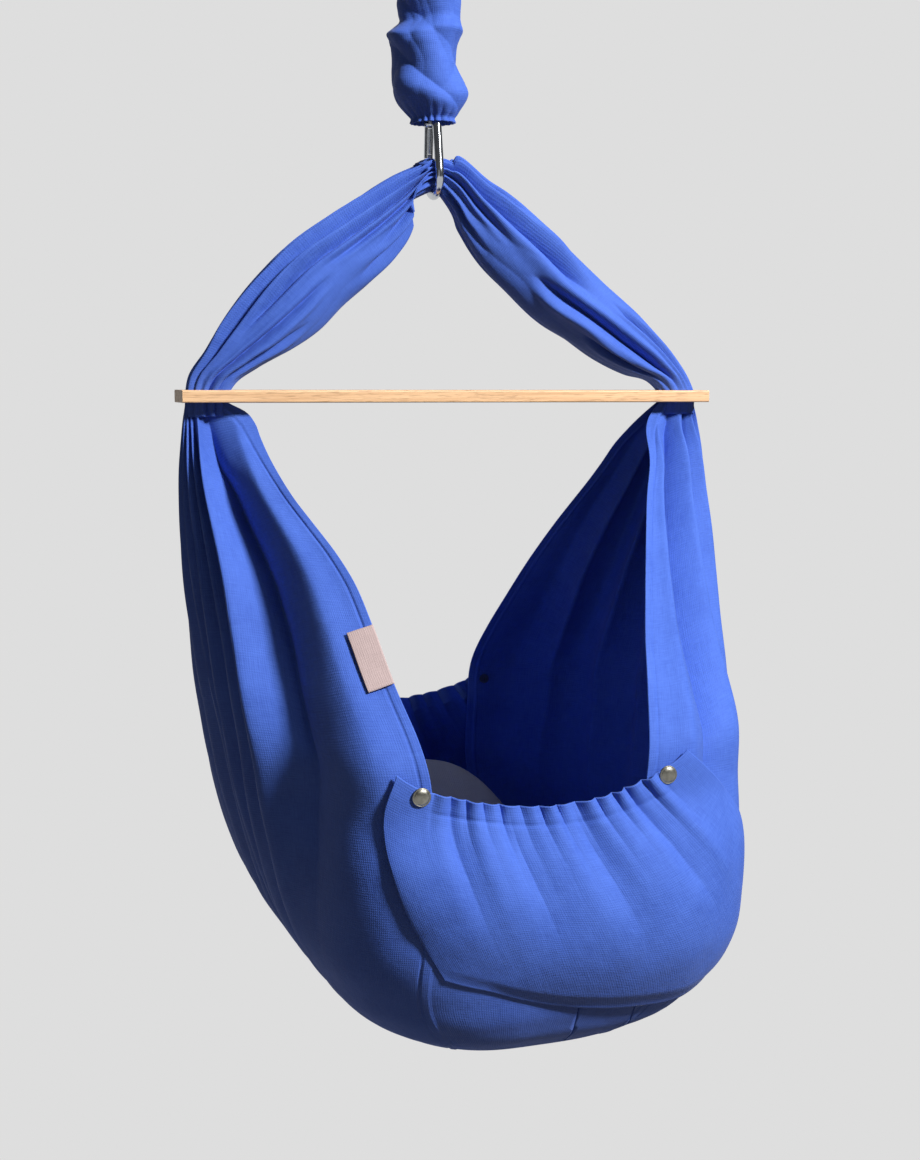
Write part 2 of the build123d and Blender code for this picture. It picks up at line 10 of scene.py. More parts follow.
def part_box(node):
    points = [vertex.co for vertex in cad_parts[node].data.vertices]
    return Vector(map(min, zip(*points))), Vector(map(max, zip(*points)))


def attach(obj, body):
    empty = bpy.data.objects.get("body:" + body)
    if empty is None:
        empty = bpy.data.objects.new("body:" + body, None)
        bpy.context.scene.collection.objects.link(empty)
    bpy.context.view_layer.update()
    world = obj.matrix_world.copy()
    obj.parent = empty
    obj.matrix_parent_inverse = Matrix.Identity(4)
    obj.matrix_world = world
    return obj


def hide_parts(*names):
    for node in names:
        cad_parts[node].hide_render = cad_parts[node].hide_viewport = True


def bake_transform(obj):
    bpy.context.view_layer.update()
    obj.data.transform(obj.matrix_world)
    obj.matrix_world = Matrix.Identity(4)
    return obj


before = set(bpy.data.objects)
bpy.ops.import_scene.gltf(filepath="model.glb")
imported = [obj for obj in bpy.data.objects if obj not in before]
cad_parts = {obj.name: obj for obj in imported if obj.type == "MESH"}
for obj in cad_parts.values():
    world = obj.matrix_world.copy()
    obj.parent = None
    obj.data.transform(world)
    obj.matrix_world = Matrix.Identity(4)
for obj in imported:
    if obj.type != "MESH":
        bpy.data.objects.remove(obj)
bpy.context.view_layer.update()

bl_info = {
    "name": "Hanging fabric cradle",
    "version": (1, 0, 0),
    "blender": (4, 5, 0),
    "location": "View3D > Sidebar > Cradle",
    "description": "Cloth, wood and metal finish of a hanging baby cradle",
    "category": "Mesh",
}

MM = 0.001

# The cloth is set out in millimetres from the spreader bar: X from the line the cradle hangs
# on, Y along the bed, and depth measured down from the bar's middle.
BAR_Z = -615.7
BED_X = 13.0
BAR_TILT = math.radians(1.3)

# Depth below the bar, half width to the left and to the right, half length, and how square the
# body is at its ends and along its sides (2 is round, 5 nearly flat).
BODY = np.array([
    (2, 266, 266, 7, 2.0, 2.0), (12, 267, 267, 10, 2.0, 2.0), (19, 268, 268, 14, 2.0, 2.0),
    (36, 269, 269, 33, 2.0, 2.0), (60, 270, 270, 71, 2.0, 2.0), (100, 269, 270, 109, 2.0, 2.0),
    (140, 267, 270, 144, 2.2, 2.0), (185, 264, 268, 176, 2.6, 2.0), (230, 260, 265, 205, 3.2, 2.0),
    (272, 256, 262, 235, 4.0, 2.05), (314, 250, 258, 260, 5.0, 2.1), (364, 243, 252, 264, 5.0, 2.4),
    (410, 234, 246, 279, 4.6, 2.7), (460, 221, 238, 285, 4.2, 3.0), (500, 205, 232, 282, 4.0, 3.2),
    (530, 186, 222, 274, 3.8, 3.2), (560, 165, 205, 262, 3.5, 3.2), (585, 138, 176, 240, 3.1, 3.0),
    (600, 104, 134, 207, 2.8, 2.8), (608, 58, 74, 160, 2.4, 2.4)])
# Distance of each hem from the bed's middle, by depth.
LEFT_HEM = np.array([
    (2, 232), (6, 226), (14, 210), (24, 202), (36, 199), (59, 193), (89, 180), (113, 166), (139, 151),
    (161, 141), (201, 131), (256, 121), (292, 112), (334, 105), (420, 104), (548, 104), (608, 60)])
RIGHT_HEM = np.array([
    (2, 232), (14, 219), (80, 187), (151, 155), (240, 122), (334, 98), (420, 98), (548, 98), (608, 60)])
BASE_OPEN_DEPTH = 470.0
NEWTON_STEPS = 8
BASE_SEAMS = (28.0, 86.0)

# End panel outline: distance from the bed's middle and depth.
FLAP_TOP = np.array([
    (-133, 319), (-124, 326), (-112, 333), (-98, 338), (-71, 346), (-44, 352), (-16, 356), (13, 357),
    (51, 353), (90, 342), (112, 332), (124, 326), (134, 319)], float)
FLAP_LEFT = np.array([
    (-133, 319), (-144, 351), (-145, 376), (-139, 411), (-129, 444), (-113, 478), (-100, 502)], float)
FLAP_RIGHT = np.array([
    (134, 319), (155, 338), (178, 362), (198, 392), (210, 424), (215, 452), (216, 470)], float)
FLAP_BOTTOM = np.array([
    (-100, 502), (-84, 508), (-60, 516), (-25, 530), (8, 540), (41, 547), (90, 553), (140, 555),
    (184, 536), (205, 506), (216, 470)], float)

# Arm of the sling: middle X and height above the bar, half height of the bundle as X and
# height, and half thickness. First from the hook to the left slot, then to the right one.
LEFT_ARM = np.array([
    (-13, 213, 4, 17, 16), (-32, 191, -8, 24, 17), (-60, 166, -16, 28, 19), (-91, 142, -22, 29, 22),
    (-122, 119, -26, 28, 24), (-150, 92, -29, 25, 24), (-178, 66, -28, 18, 22), (-206, 41, -24, 9, 17),
    (-228, 19, -22, 3, 11), (-233, 4, -20, 0, 8), (-233, -14, -20, 0, 7)], float)
RIGHT_ARM = np.array([
    (13, 213, 5, 17, 16), (41, 185, 14, 22, 17), (70, 157, 22, 27, 20), (101, 130, 26, 27, 23),
    (132, 102, 28, 25, 24), (165, 76, 28, 21, 24), (196, 51, 28, 17, 21), (228, 27, 26, 9, 16),
    (251, 10, 22, 1, 11), (259, -2, 20, 0, 8), (259, -24, 20, 0, 7)], float)

# Sleeve: height above the bar, middle X, radius.
SLEEVE = np.array([
    (267, -1, 22), (271, 0, 21), (276, -1, 25), (285, -2, 31), (294, -3, 34), (303, -5, 33), (313, -6, 31),
    (324, -6, 30), (336, -7, 31), (346, -8, 34), (352, -7, 35), (358, -4, 31), (364, -1, 27.5),
    (372, -1, 28), (383, -1, 30), (400, 1, 31), (425, 3, 29), (445, 0, 31), (468, -2, 28), (485, 0, 31),
    (505, 1, 29), (516, 0, 25), (522, 0, 23), (528, 0, 24)])


def srgb(code):
    """Linear RGB of an sRGB hex colour such as "3050B8"."""
    values = [int(code[i:i + 2], 16) / 255 for i in (0, 2, 4)]
    return tuple(v / 12.92 if v <= 0.04045 else ((v + 0.055) / 1.055) ** 2.4 for v in values)


# ------------------------------------------------------------------ surfaces

def smooth_line(knots, at):
    """Values on a smooth line through knots (first column against each other column).

    Between two knots the line is the cubic that meets both, with the mean slope of the
    neighbours at each end.
    """
    knots = np.asarray(knots, float)
    x = knots[:, 0]
    at = np.clip(np.asarray(at, float), x[0], x[-1])
    i = np.clip(np.searchsorted(x, at, side="right") - 1, 0, len(x) - 2)
    step = x[i + 1] - x[i]
    t = (at - x[i]) / step
    lines = []
    for y in knots[:, 1:].T:
        slope = np.gradient(y, x)
        lines.append(y[i] * (1 + 2 * t) * (1 - t) ** 2 + step * slope[i] * t * (1 - t) ** 2
                     + y[i + 1] * t * t * (3 - 2 * t) + step * slope[i + 1] * t * t * (t - 1))
    return lines


def along_path(points, share):
    """Points at the given shares of a path's own length, smoothed between its corners."""
    points = np.asarray(points, float)
    run = np.concatenate([[0], np.cumsum(np.hypot(*np.diff(points[:, :2], axis=0).T))])
    return np.stack(smooth_line(np.column_stack([run / run[-1], points]), share), axis=-1)


def lengths(points):
    """Running length at each point of a line: the sum of the distances before it."""
    return np.concatenate([[0], np.cumsum(np.linalg.norm(np.diff(points, axis=0), axis=-1))])


def surface_normals(points):
    """Unit normals of a grid of points: the cross product of its two directions of travel."""
    across = np.gradient(points, axis=1)
    down = np.gradient(points, axis=0)
    normal = np.cross(across, down)
    return normal / np.maximum(np.linalg.norm(normal, axis=-1, keepdims=True), 1e-9)


def to_frame(points):
    """Millimetres from the bar's middle to metres in the model's frame."""
    out = np.array(points, float)
    out[..., 2] += BAR_Z
    return out * MM


def bump(x, centre, width):
    """A smooth hump of height 1 that is gone within about two widths."""
    return np.exp(-((x - centre) / width) ** 2)


def pleat(phase):
    """Round ridges with a sharp valley between them: the size of a half-speed sine."""
    return np.abs(np.sin(phase / 2)) - 0.64


def ease(x, low, high):
    """0 before low, 1 after high, smooth in between."""
    t = np.clip((x - low) / (high - low), 0, 1)
    return t * t * (3 - 2 * t)


def waves(x, seed, count=6, longest=1.0):
    """A sum of sines of falling size whose phases come from a fixed seed."""
    rng = np.random.default_rng(seed)
    total = np.zeros_like(x)
    for k in range(1, count + 1):
        size = rng.uniform(0.5, 1.0) / k
        total += size * np.sin(2 * np.pi * x * k / longest + rng.uniform(0, 2 * np.pi))
    return total


def body_form(depth):
    """Half width left and right, half length and the two powers of the body at each depth."""
    return smooth_line(BODY, depth)


def on_body(turn, depth, out=0.0):
    """Point of the body's rounded oblong ring |x/a|^p + |y/b|^q = 1 in a direction from its middle.

    The reach in that direction is found in a few Newton steps. a differs from left to right.
    """
    left, right, b, p, q = body_form(depth)
    c = np.cos(turn)
    s = np.sin(turn)
    across = np.abs(c)
    along = np.abs(s)
    reach = np.ones_like(c)
    for _ in range(NEWTON_STEPS):
        miss = (reach * across) ** p + (reach * along) ** q - 1
        rate = p * (reach * across) ** p / reach + q * (reach * along) ** q / reach
        reach = reach - miss / rate
    a = np.where(c > 0, right, left)
    return np.stack([BED_X + (a + out) * reach * c, (b + out) * reach * s, -depth * np.ones_like(c)],
                    axis=-1)


def turn_at(x, depth, end):
    """Direction on the ring where an end (-1 front, 1 rear) stands at a distance from the middle."""
    left, right, b, p, q = body_form(depth)
    share = x / np.where(x > 0, right, left)
    y = (1 - np.minimum(np.abs(share), 0.9999) ** p) ** (1 / q)
    return np.arctan2(end * y, share)


def surface(name, points, uv=None, round_u=False, keep=None, flip=False):
    """A mesh from a grid of points in metres, one face per cell that is kept.

    uv is a grid of the cloth's own flat coordinates in metres. round_u closes each row on
    itself, with one more uv column than points so that the flat coordinates run on.
    """
    rows, cols = points.shape[:2]
    index = np.arange(rows * cols).reshape(rows, cols)
    right = np.roll(index, -1, axis=1) if round_u else index[:, 1:]
    left = index if round_u else index[:, :-1]
    cells = np.stack([left[:-1], right[:-1], right[1:], left[1:]], axis=-1).reshape(-1, 4)
    chosen = np.ones(len(cells), bool) if keep is None else keep.reshape(-1)
    cells = cells[chosen]
    if flip:
        cells = cells[:, ::-1]
    mesh = bpy.data.meshes.new(name)
    mesh.from_pydata(points.reshape(-1, 3), [], cells)
    if uv is not None:
        u0 = uv[:, :-1]
        u1 = uv[:, 1:]
        corner = np.stack([u0[:-1], u1[:-1], u1[1:], u0[1:]], axis=-2).reshape(-1, 4, 2)[chosen]
        if flip:
            corner = corner[:, ::-1]
        layer = mesh.uv_layers.new(name="cloth")
        layer.data.foreach_set("uv", corner.reshape(-1).astype(np.float32))
    mesh.shade_smooth()
    mesh.update()
    piece = bpy.data.objects.new(name, mesh)
    bpy.context.scene.collection.objects.link(piece)
    return piece


def tidy_mesh(piece, distance=2e-5):
    """Joins doubled points and drops loose ones, so seams and poles are closed."""
    work = bmesh.new()
    work.from_mesh(piece.data)
    bmesh.ops.remove_doubles(work, verts=work.verts, dist=distance)
    bmesh.ops.delete(work, geom=[v for v in work.verts if not v.link_faces], context="VERTS")
    work.to_mesh(piece.data)
    work.free()
    piece.data.update()


def thicken(piece, thickness):
    """Gives a sheet its cloth thickness behind the face that shows."""
    wall = piece.modifiers.new("cloth thickness", "SOLIDIFY")
    wall.thickness = thickness * MM
    wall.offset = -1
    wall.use_even_offset = False
    wall.use_rim = True


def finish_piece(piece, material, body, slot, *nodes):
    """Material, body and the CAD nodes that the piece stands for; slot is not used."""
    piece.data.materials.clear()
    piece.data.materials.append(material)
    if body:
        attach(piece, body)
    if nodes:
        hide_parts(*nodes)
    return piece


def join(name, pieces):
    """One object from several meshes."""
    work = bmesh.new()
    for piece in pieces:
        work.from_mesh(piece.data)
        bpy.data.objects.remove(piece)
    mesh = bpy.data.meshes.new(name)
    work.to_mesh(mesh)
    work.free()
    mesh.shade_smooth()
    whole = bpy.data.objects.new(name, mesh)
    bpy.context.scene.collection.objects.link(whole)
    return whole


# ------------------------------------------------------------------ materials

def add_node(tree, kind, settings=None, **inputs):
    """Adds a node; settings are its properties, inputs its sockets' values or linked outputs."""
    node = tree.nodes.new(kind)
    for key, value in (settings or {}).items():
        setattr(node, key, value)
    for key, value in inputs.items():
        socket = node.inputs[int(key[1:])] if key[0] == "i" and key[1:].isdigit() else node.inputs[
            key.replace("_", " ")]
        if isinstance(value, bpy.types.NodeSocket):
            tree.links.new(value, socket)
        else:
            socket.default_value = value
    return node


RGBA_MIX = {"data_type": "RGBA"}


def new_material(name):
    """An empty node material with its shader, and the tree to build in."""
    material = bpy.data.materials.new(name)
    material.use_nodes = True
    tree = material.node_tree
    shader = tree.nodes["Principled BSDF"]
    return material, tree, shader


def with_alpha(colour):
    """A colour with the alpha that sockets want."""
    return (*colour[:3], 1.0)


def woven_cloth(name, colour, dark, thread=1.1, roughness=0.78, sheen=0.12, slub=0.35, relief=0.3):
    """Plain-woven cotton: two sets of threads, slubs along them and slow dye unevenness.

    The weave reads the piece's own flat coordinates. Real threads are about 0.5 mm apart; the
    bands are drawn 2.2 mm apart, so that the grain shows at all.
    """
    material, tree, shader = new_material(name)
    flat = add_node(tree, "ShaderNodeUVMap", {"uv_map": "cloth"}).outputs[0]
    place = add_node(tree, "ShaderNodeTexCoord").outputs["Object"]
    # The node draws a band every pi / (10 x scale) metres, so this is one per two threads.
    bands = math.pi / (20 * thread * MM)
    warp, weft = (add_node(tree, "ShaderNodeTexWave", {"bands_direction": way}, Vector=flat, Scale=bands,
                           Distortion=1.5, Detail=1.0, Detail_Scale=2.0).outputs["Fac"] for way in "XY")
    weave = add_node(tree, "ShaderNodeMath", {"operation": "MULTIPLY"}, i0=warp, i1=weft).outputs[0]
    # Slubs: thick places in a thread, about 1 mm wide and 17 mm long.
    slub_x, slub_y = (
        add_node(tree, "ShaderNodeTexNoise", {}, Scale=1.0, Detail=2.0, Vector=add_node(
            tree, "ShaderNodeMapping", {}, Vector=flat, Scale=scale).outputs[0]).outputs["Fac"]
        for scale in ((900, 60, 1), (60, 900, 1)))
    slubs = add_node(tree, "ShaderNodeMath", {"operation": "ADD"}, i0=slub_x, i1=slub_y).outputs[0]
    dye = add_node(tree, "ShaderNodeTexNoise", {}, Vector=place, Scale=14.0, Detail=4.0,
                   Roughness=0.6).outputs["Fac"]
    grain = add_node(tree, "ShaderNodeMapRange", {}, Value=slubs, From_Min=0.7, From_Max=1.3,
                     To_Min=0.5 - slub, To_Max=0.5 + slub).outputs[0]
    tone = add_node(tree, "ShaderNodeMix", RGBA_MIX, i0=grain, i6=with_alpha(dark),
                    i7=with_alpha(colour)).outputs[2]
    pale = with_alpha([min(1.0, c * 1.18 + 0.004) for c in colour])
    dye_share = add_node(tree, "ShaderNodeMapRange", {}, Value=dye, From_Min=0.35, From_Max=0.65,
                         To_Min=0.0, To_Max=0.35).outputs[0]
    tone = add_node(tree, "ShaderNodeMix", RGBA_MIX, i0=dye_share, i6=tone, i7=pale).outputs[2]
    tree.links.new(tone, shader.inputs["Base Color"])
    crumple = add_node(tree, "ShaderNodeTexNoise", {}, Vector=place, Scale=38.0, Detail=3.0,
                       Roughness=0.55).outputs["Fac"]
    soft = add_node(tree, "ShaderNodeBump", {}, Height=crumple, Strength=0.25, Distance=0.004).outputs[0]
    height = add_node(tree, "ShaderNodeMath", {"operation": "ADD"}, i0=weave, i1=slubs).outputs[0]
    fine = add_node(tree, "ShaderNodeBump", {}, Height=height, Strength=relief, Distance=0.0006,
                    Normal=soft).outputs[0]
    tree.links.new(fine, shader.inputs["Normal"])
    rough = add_node(tree, "ShaderNodeMapRange", {}, Value=slubs, From_Min=0.6, From_Max=1.4,
                     To_Min=roughness - 0.06, To_Max=roughness + 0.06).outputs[0]
    tree.links.new(rough, shader.inputs["Roughness"])
    shader.inputs["Sheen Weight"].default_value = sheen
    shader.inputs["Sheen Roughness"].default_value = 0.45
    shader.inputs["Sheen Tint"].default_value = with_alpha([0.35 + 0.65 * c for c in colour])
    shader.inputs["Specular IOR Level"].default_value = 0.25
    return material


def oiled_oak(name, colour, dark):
    """Oak board planed and oiled: straight grain along the bar, open pores and darker rays.

    Grain lines are about 2 mm apart on the edge and 6 mm on the face; pores are 0.7 mm wide.
    """
    material, tree, shader = new_material(name)
    place = add_node(tree, "ShaderNodeTexCoord").outputs["Object"]
    long_grain = add_node(tree, "ShaderNodeMapping", {}, Vector=place, Scale=(9, 160, 420)).outputs[0]
    figure = add_node(tree, "ShaderNodeTexNoise", {}, Vector=long_grain, Scale=1.0, Detail=5.0,
                      Roughness=0.6, Distortion=0.4).outputs["Fac"]
    pores_at = add_node(tree, "ShaderNodeMapping", {}, Vector=place, Scale=(70, 1500, 1500)).outputs[0]
    pores = add_node(tree, "ShaderNodeTexNoise", {}, Vector=pores_at, Scale=1.0,
                     Detail=1.0).outputs["Fac"]
    pore_share = add_node(tree, "ShaderNodeMapRange", {}, Value=pores, From_Min=0.58, From_Max=0.68,
                          To_Min=0.0, To_Max=0.45).outputs[0]
    grain = add_node(tree, "ShaderNodeMapRange", {}, Value=figure, From_Min=0.3, From_Max=0.7, To_Min=0.0,
                     To_Max=0.55).outputs[0]
    tone = add_node(tree, "ShaderNodeMix", RGBA_MIX, i0=grain, i6=with_alpha(colour),
                    i7=with_alpha(dark)).outputs[2]
    tone = add_node(tree, "ShaderNodeMix", RGBA_MIX, i0=pore_share, i6=tone,
                    i7=with_alpha([0.55 * c for c in dark])).outputs[2]
    tree.links.new(tone, shader.inputs["Base Color"])
    height = add_node(tree, "ShaderNodeMath", {"operation": "SUBTRACT"}, i0=figure,
                      i1=pore_share).outputs[0]
    relief = add_node(tree, "ShaderNodeBump", {}, Height=height, Strength=0.25, Distance=0.0003).outputs[0]
    tree.links.new(relief, shader.inputs["Normal"])
    shader.inputs["Roughness"].default_value = 0.5
    return material


def worked_metal(name, colour, roughness, streak=(120, 120, 25), wear=0.12, dark=None):
    """Metal with fine marks of how it was made: roughness streaks and slightly duller patches.

    Streaks are 1 to 9 mm apart, by the direction; patches are about 5 mm across.
    """
    material, tree, shader = new_material(name)
    place = add_node(tree, "ShaderNodeTexCoord").outputs["Object"]
    marks_at = add_node(tree, "ShaderNodeMapping", {}, Vector=place,
                        Scale=[8 * s for s in streak]).outputs[0]
    marks = add_node(tree, "ShaderNodeTexNoise", {}, Vector=marks_at, Scale=1.0,
                     Detail=3.0).outputs["Fac"]
    patches = add_node(tree, "ShaderNodeTexNoise", {}, Vector=place, Scale=180.0,
                       Detail=4.0).outputs["Fac"]
    rough = add_node(tree, "ShaderNodeMapRange", {}, Value=marks, From_Min=0.3, From_Max=0.7,
                     To_Min=max(0.05, roughness - wear / 2), To_Max=roughness + wear).outputs[0]
    tree.links.new(rough, shader.inputs["Roughness"])
    share = add_node(tree, "ShaderNodeMapRange", {}, Value=patches, From_Min=0.35, From_Max=0.7,
                     To_Min=0.0, To_Max=0.5).outputs[0]
    other = dark if dark is not None else [0.72 * c for c in colour]
    tone = add_node(tree, "ShaderNodeMix", RGBA_MIX, i0=share, i6=with_alpha(colour),
                    i7=with_alpha(other)).outputs[2]
    tree.links.new(tone, shader.inputs["Base Color"])
    relief = add_node(tree, "ShaderNodeBump", {}, Height=marks, Strength=0.12, Distance=0.0001).outputs[0]
    tree.links.new(relief, shader.inputs["Normal"])
    shader.inputs["Metallic"].default_value = 1.0
    return material


def cached(maker, name, *values, **options):
    """Makes each material once."""
    return bpy.data.materials.get(name) or maker(name, *values, **options)


def canvas():
    """Piece-dyed cotton canvas: matt, with a faint pale sheen where it is seen edge on."""
    return cached(woven_cloth, "dyed cotton canvas", tuple(colours().canvas), tuple(colours().canvas_dark))


# ------------------------------------------------------------------ settings

class CradleSizes(bpy.types.PropertyGroup):
    """Sizes of the cloth work, in metres unless they are counts or shares."""
    cloth: FloatProperty(name="Cloth", description="Thickness of the canvas", default=0.0012,
                         unit="LENGTH")
    fold_depth: FloatProperty(name="Fold depth", description="How deep the hanging folds of the sides are",
                              default=0.013, unit="LENGTH")
    arm_fold: FloatProperty(name="Arm folds", description="Depth of the folds in the arms, as a share of "
                            "their thickness", default=0.36, min=0.0, max=0.5, subtype="FACTOR")
    pleats: IntProperty(name="Pleats", description="Pleats drawn up by each end panel's elastic",
                        default=17)
    pleat_depth: FloatProperty(name="Pleat depth", description="Depth of those pleats", default=0.0065,
                               unit="LENGTH")
    bulge: FloatProperty(name="End bulge", description="How far the end panels belly out", default=0.014,
                         unit="LENGTH")
    pad: FloatProperty(name="Mattress", description="Thickness of the mattress", default=0.06,
                       unit="LENGTH")


class CradleColours(bpy.types.PropertyGroup):
    """Colours of the finishes, linear."""
    canvas: FloatVectorProperty(name="Canvas", description="Dyed cotton canvas", subtype="COLOR",
                                default=srgb("496BC4"), min=0, max=1)
    canvas_dark: FloatVectorProperty(name="Canvas, dark", description="Canvas between its threads",
                                     subtype="COLOR", default=srgb("3252AC"), min=0, max=1)
    oak: FloatVectorProperty(name="Oak", description="Oiled oak", subtype="COLOR",
                             default=srgb("F0C698"), min=0, max=1)
    steel: FloatVectorProperty(name="Steel", description="Bright steel of the hooks", subtype="COLOR",
                               default=srgb("C8CCD2"), min=0, max=1)
    label: FloatVectorProperty(name="Label", description="Woven label", subtype="COLOR",
                               default=srgb("B9A4A2"), min=0, max=1)
    mattress: FloatVectorProperty(name="Mattress", description="Mattress cloth", subtype="COLOR",
                                  default=srgb("8E93A4"), min=0, max=1)


def sizes():
    """The sizes a user may change."""
    return bpy.context.scene.cradle_sizes


def colours():
    """The colours a user may change."""
    return bpy.context.scene.cradle_colours


# ------------------------------------------------------------------ body cloth

SIDE_COLUMNS = 270
END_COLUMNS = 50
HEM_WIDTH = 11.0
HEM_GROOVE = 0.9
BODY_MIDDLE = (BED_X, 0, -300)
# Run of a side panel from hem to hem, by depth: sets how far a column is from its hem.
PANEL_RUN = np.array([(2, 0.1), (60, 0.75), (150, 1.3), (610, 1.3)]) * (1, np.pi * 150)
# Each hanging fold: share of the panel's width, its own width as a share, height against the
# deepest fold, and the depths between which it dies out.
LEFT_FOLDS = [
    (0.08, 0.035, 0.6, 300, 520), (0.205, 0.06, -3.0, 320, 560), (0.288, 0.022, 1.5, 420, 606),
    (0.318, 0.014, -1.5, 520, 606), (0.35, 0.013, 0.6, 380, 560), (0.378, 0.011, -1.2, 460, 600),
    (0.404, 0.012, 0.6, 330, 520), (0.43, 0.011, -1.2, 500, 604), (0.46, 0.013, 0.6, 380, 560),
    (0.492, 0.013, -1.2, 440, 600), (0.53, 0.018, 0.7, 360, 560), (0.575, 0.016, -1.2, 460, 600),
    (0.62, 0.02, 0.6, 330, 520), (0.665, 0.018, -1.2, 420, 600), (0.72, 0.03, 0.8, 380, 560),
    (0.785, 0.03, -1.5, 320, 540), (0.86, 0.035, 0.8, 300, 500), (0.93, 0.03, -0.6, 240, 420)]
RIGHT_FOLDS = [
    (0.07, 0.03, 0.6, 300, 500), (0.13, 0.02, -1.2, 400, 580), (0.19, 0.03, 0.7, 330, 520),
    (0.25, 0.018, -1.3, 420, 600), (0.31, 0.03, 0.7, 350, 540), (0.37, 0.018, -1.3, 400, 590),
    (0.44, 0.03, 0.7, 380, 560), (0.5, 0.018, -1.2, 420, 600), (0.555, 0.02, 0.6, 330, 520),
    (0.61, 0.02, -1.2, 380, 590), (0.67, 0.025, 0.8, 330, 560), (0.745, 0.026, -1.8, 430, 590),
    (0.8, 0.03, 0.9, 380, 560), (0.872, 0.034, -2.6, 300, 560), (0.945, 0.02, 0.6, 330, 540)]


def fold_field(share, depth, folds, seed):
    """Hanging folds: humps and sharper hollows at shares of the panel's width.

    Each wanders a little as it runs down, widens, and dies out at its own depth.
    """
    rng = np.random.default_rng(seed)
    field = np.zeros_like(share)
    for centre, width, height, start, end in folds:
        drift = 0.012 * np.sin(depth / rng.uniform(90, 160) + rng.uniform(0, 6)) * ease(depth, 60, 300)
        fade = 1 - ease(depth, start, end)
        spread = width * (1 + 0.5 * ease(depth, 150, 500))
        power = 1.15 if height < 0 else 1.7
        field += height * fade * np.exp(-np.abs((share - centre - drift) / spread) ** power)
    return field


def fold_size(depth):
    """How deep folds may be at each depth: small in the slot, deepest part way down."""
    line = np.array([(2, 0.06), (12, 0.14), (40, 0.42), (90, 0.8), (180, 1.0), (300, 0.9), (400, 0.7),
                     (480, 0.5), (548, 0.35), (600, 0.12), (612, 0.0)])
    return smooth_line(line, depth)[0]


def column_shares(count):
    """Even steps from 0 to 1 (left out), drawn closer together near both ends by a sine."""
    even = np.linspace(0, 1, count, endpoint=False)
    return even - 0.6 * np.sin(2 * np.pi * even) / (2 * np.pi)


class BuildBody(bpy.types.Operator):
    """Side panels and base strip: one cut cloth form, parted at its seams"""
    bl_idname = "cradle.body_cloth"
    bl_label = "Sling body"

    def execute(self, context):
        depth = np.concatenate([np.linspace(3, 60, 22)[:-1], np.linspace(60, BASE_OPEN_DEPTH, 96)[:-1],
                                np.linspace(BASE_OPEN_DEPTH, 608, 34)])
        left_front = turn_at(-smooth_line(LEFT_HEM, depth)[0], depth, -1)
        left_rear = turn_at(-smooth_line(LEFT_HEM, depth)[0], depth, 1) - 2 * np.pi
        right_rear = turn_at(smooth_line(RIGHT_HEM, depth)[0], depth, 1) - 2 * np.pi
        right_front = turn_at(smooth_line(RIGHT_HEM, depth)[0], depth, -1) - 2 * np.pi
        corners = [left_front, left_rear, right_rear, right_front, left_front - 2 * np.pi]
        counts = [SIDE_COLUMNS, END_COLUMNS, SIDE_COLUMNS, END_COLUMNS]
        turn = np.concatenate([
            a[:, None] + (b - a)[:, None] * column_shares(n)
            for a, b, n in zip(corners, corners[1:], counts)], axis=1)
        part = np.repeat(np.arange(4), counts)
        share = np.concatenate([column_shares(n) for n in counts])
        depths = depth[:, None] * np.ones_like(turn)
        points = on_body(turn, depths)
        normal = surface_normals(np.concatenate([points[:, -1:], points, points[:, :1]], axis=1))[:, 1:-1]
        shares = np.broadcast_to(share, turn.shape)
        folds = np.zeros_like(turn)
        left = part == 0
        right = part == 2
        folds[:, left] = fold_field(shares[:, left], depths[:, left], LEFT_FOLDS, 3)
        folds[:, right] = fold_field(shares[:, right], depths[:, right], RIGHT_FOLDS, 8)
        edge = np.where(left | right, np.minimum(share, 1 - share), 0)
        folds = folds * ease(edge, -0.01, 0.05)
        lift = folds * fold_size(depths) * sizes().fold_depth / MM
        slack = ease(depths, 60, 200) * (1 - ease(depths, 560, 606))
        lift += 1.2 * waves(turn * 3 + depths / 160, 5, 4, 6.0) * slack
        from_hem = edge * smooth_line(PANEL_RUN, depths)[0]
        hem = -HEM_GROOVE * bump(from_hem, HEM_WIDTH, 1.6) + 0.5 * (1 - ease(from_hem, 9, 12))
        lift += np.where((left | right)[None, :], hem, 0)
        outward = np.sign(np.sum(normal * (points - BODY_MIDDLE), axis=-1, keepdims=True))
        points = points + normal * outward * lift[..., None]
        points[..., 2] -= tilt_drop(points[..., 0]) * (1 - ease(depths, 0, 60))
        # The lowest ring shrinks to a point under the bed's middle, 2 mm lower.
        shrink = np.linspace(0.93, 0, 14)[:, None]
        last = points[-1]
        closing = np.stack([BED_X + (last[:, 0] - BED_X) * shrink, last[:, 1] * shrink,
                            last[:, 2] - 2.0 * (1 - shrink ** 2)], axis=-1)
        points = np.concatenate([points, closing], axis=0)
        keep = np.ones((len(points) - 1, points.shape[1]), bool)
        open_rows = np.arange(len(points) - 1) < np.searchsorted(depth, BASE_OPEN_DEPTH)
        keep[np.ix_(open_rows, ~(left | right))] = False
        run = np.linalg.norm(np.diff(points, axis=1, append=points[:, :1]), axis=-1)
        widest = run[np.searchsorted(depth, 300)]
        u = np.concatenate([[0], np.cumsum(widest)]) * MM
        v = lengths(points[:, SIDE_COLUMNS // 2]) * MM
        uv = np.stack(np.broadcast_arrays(u[None, :], -v[:, None]), axis=-1)
        whole = surface("sling_body", to_frame(points), uv, round_u=True, keep=keep)
        tidy_mesh(whole)
        part_at_seams(whole)
        return {"FINISHED"}


def tilt_drop(x):
    """How much lower the tilted bar is at a distance from the hang line."""
    return (x - BED_X) * math.tan(BAR_TILT)


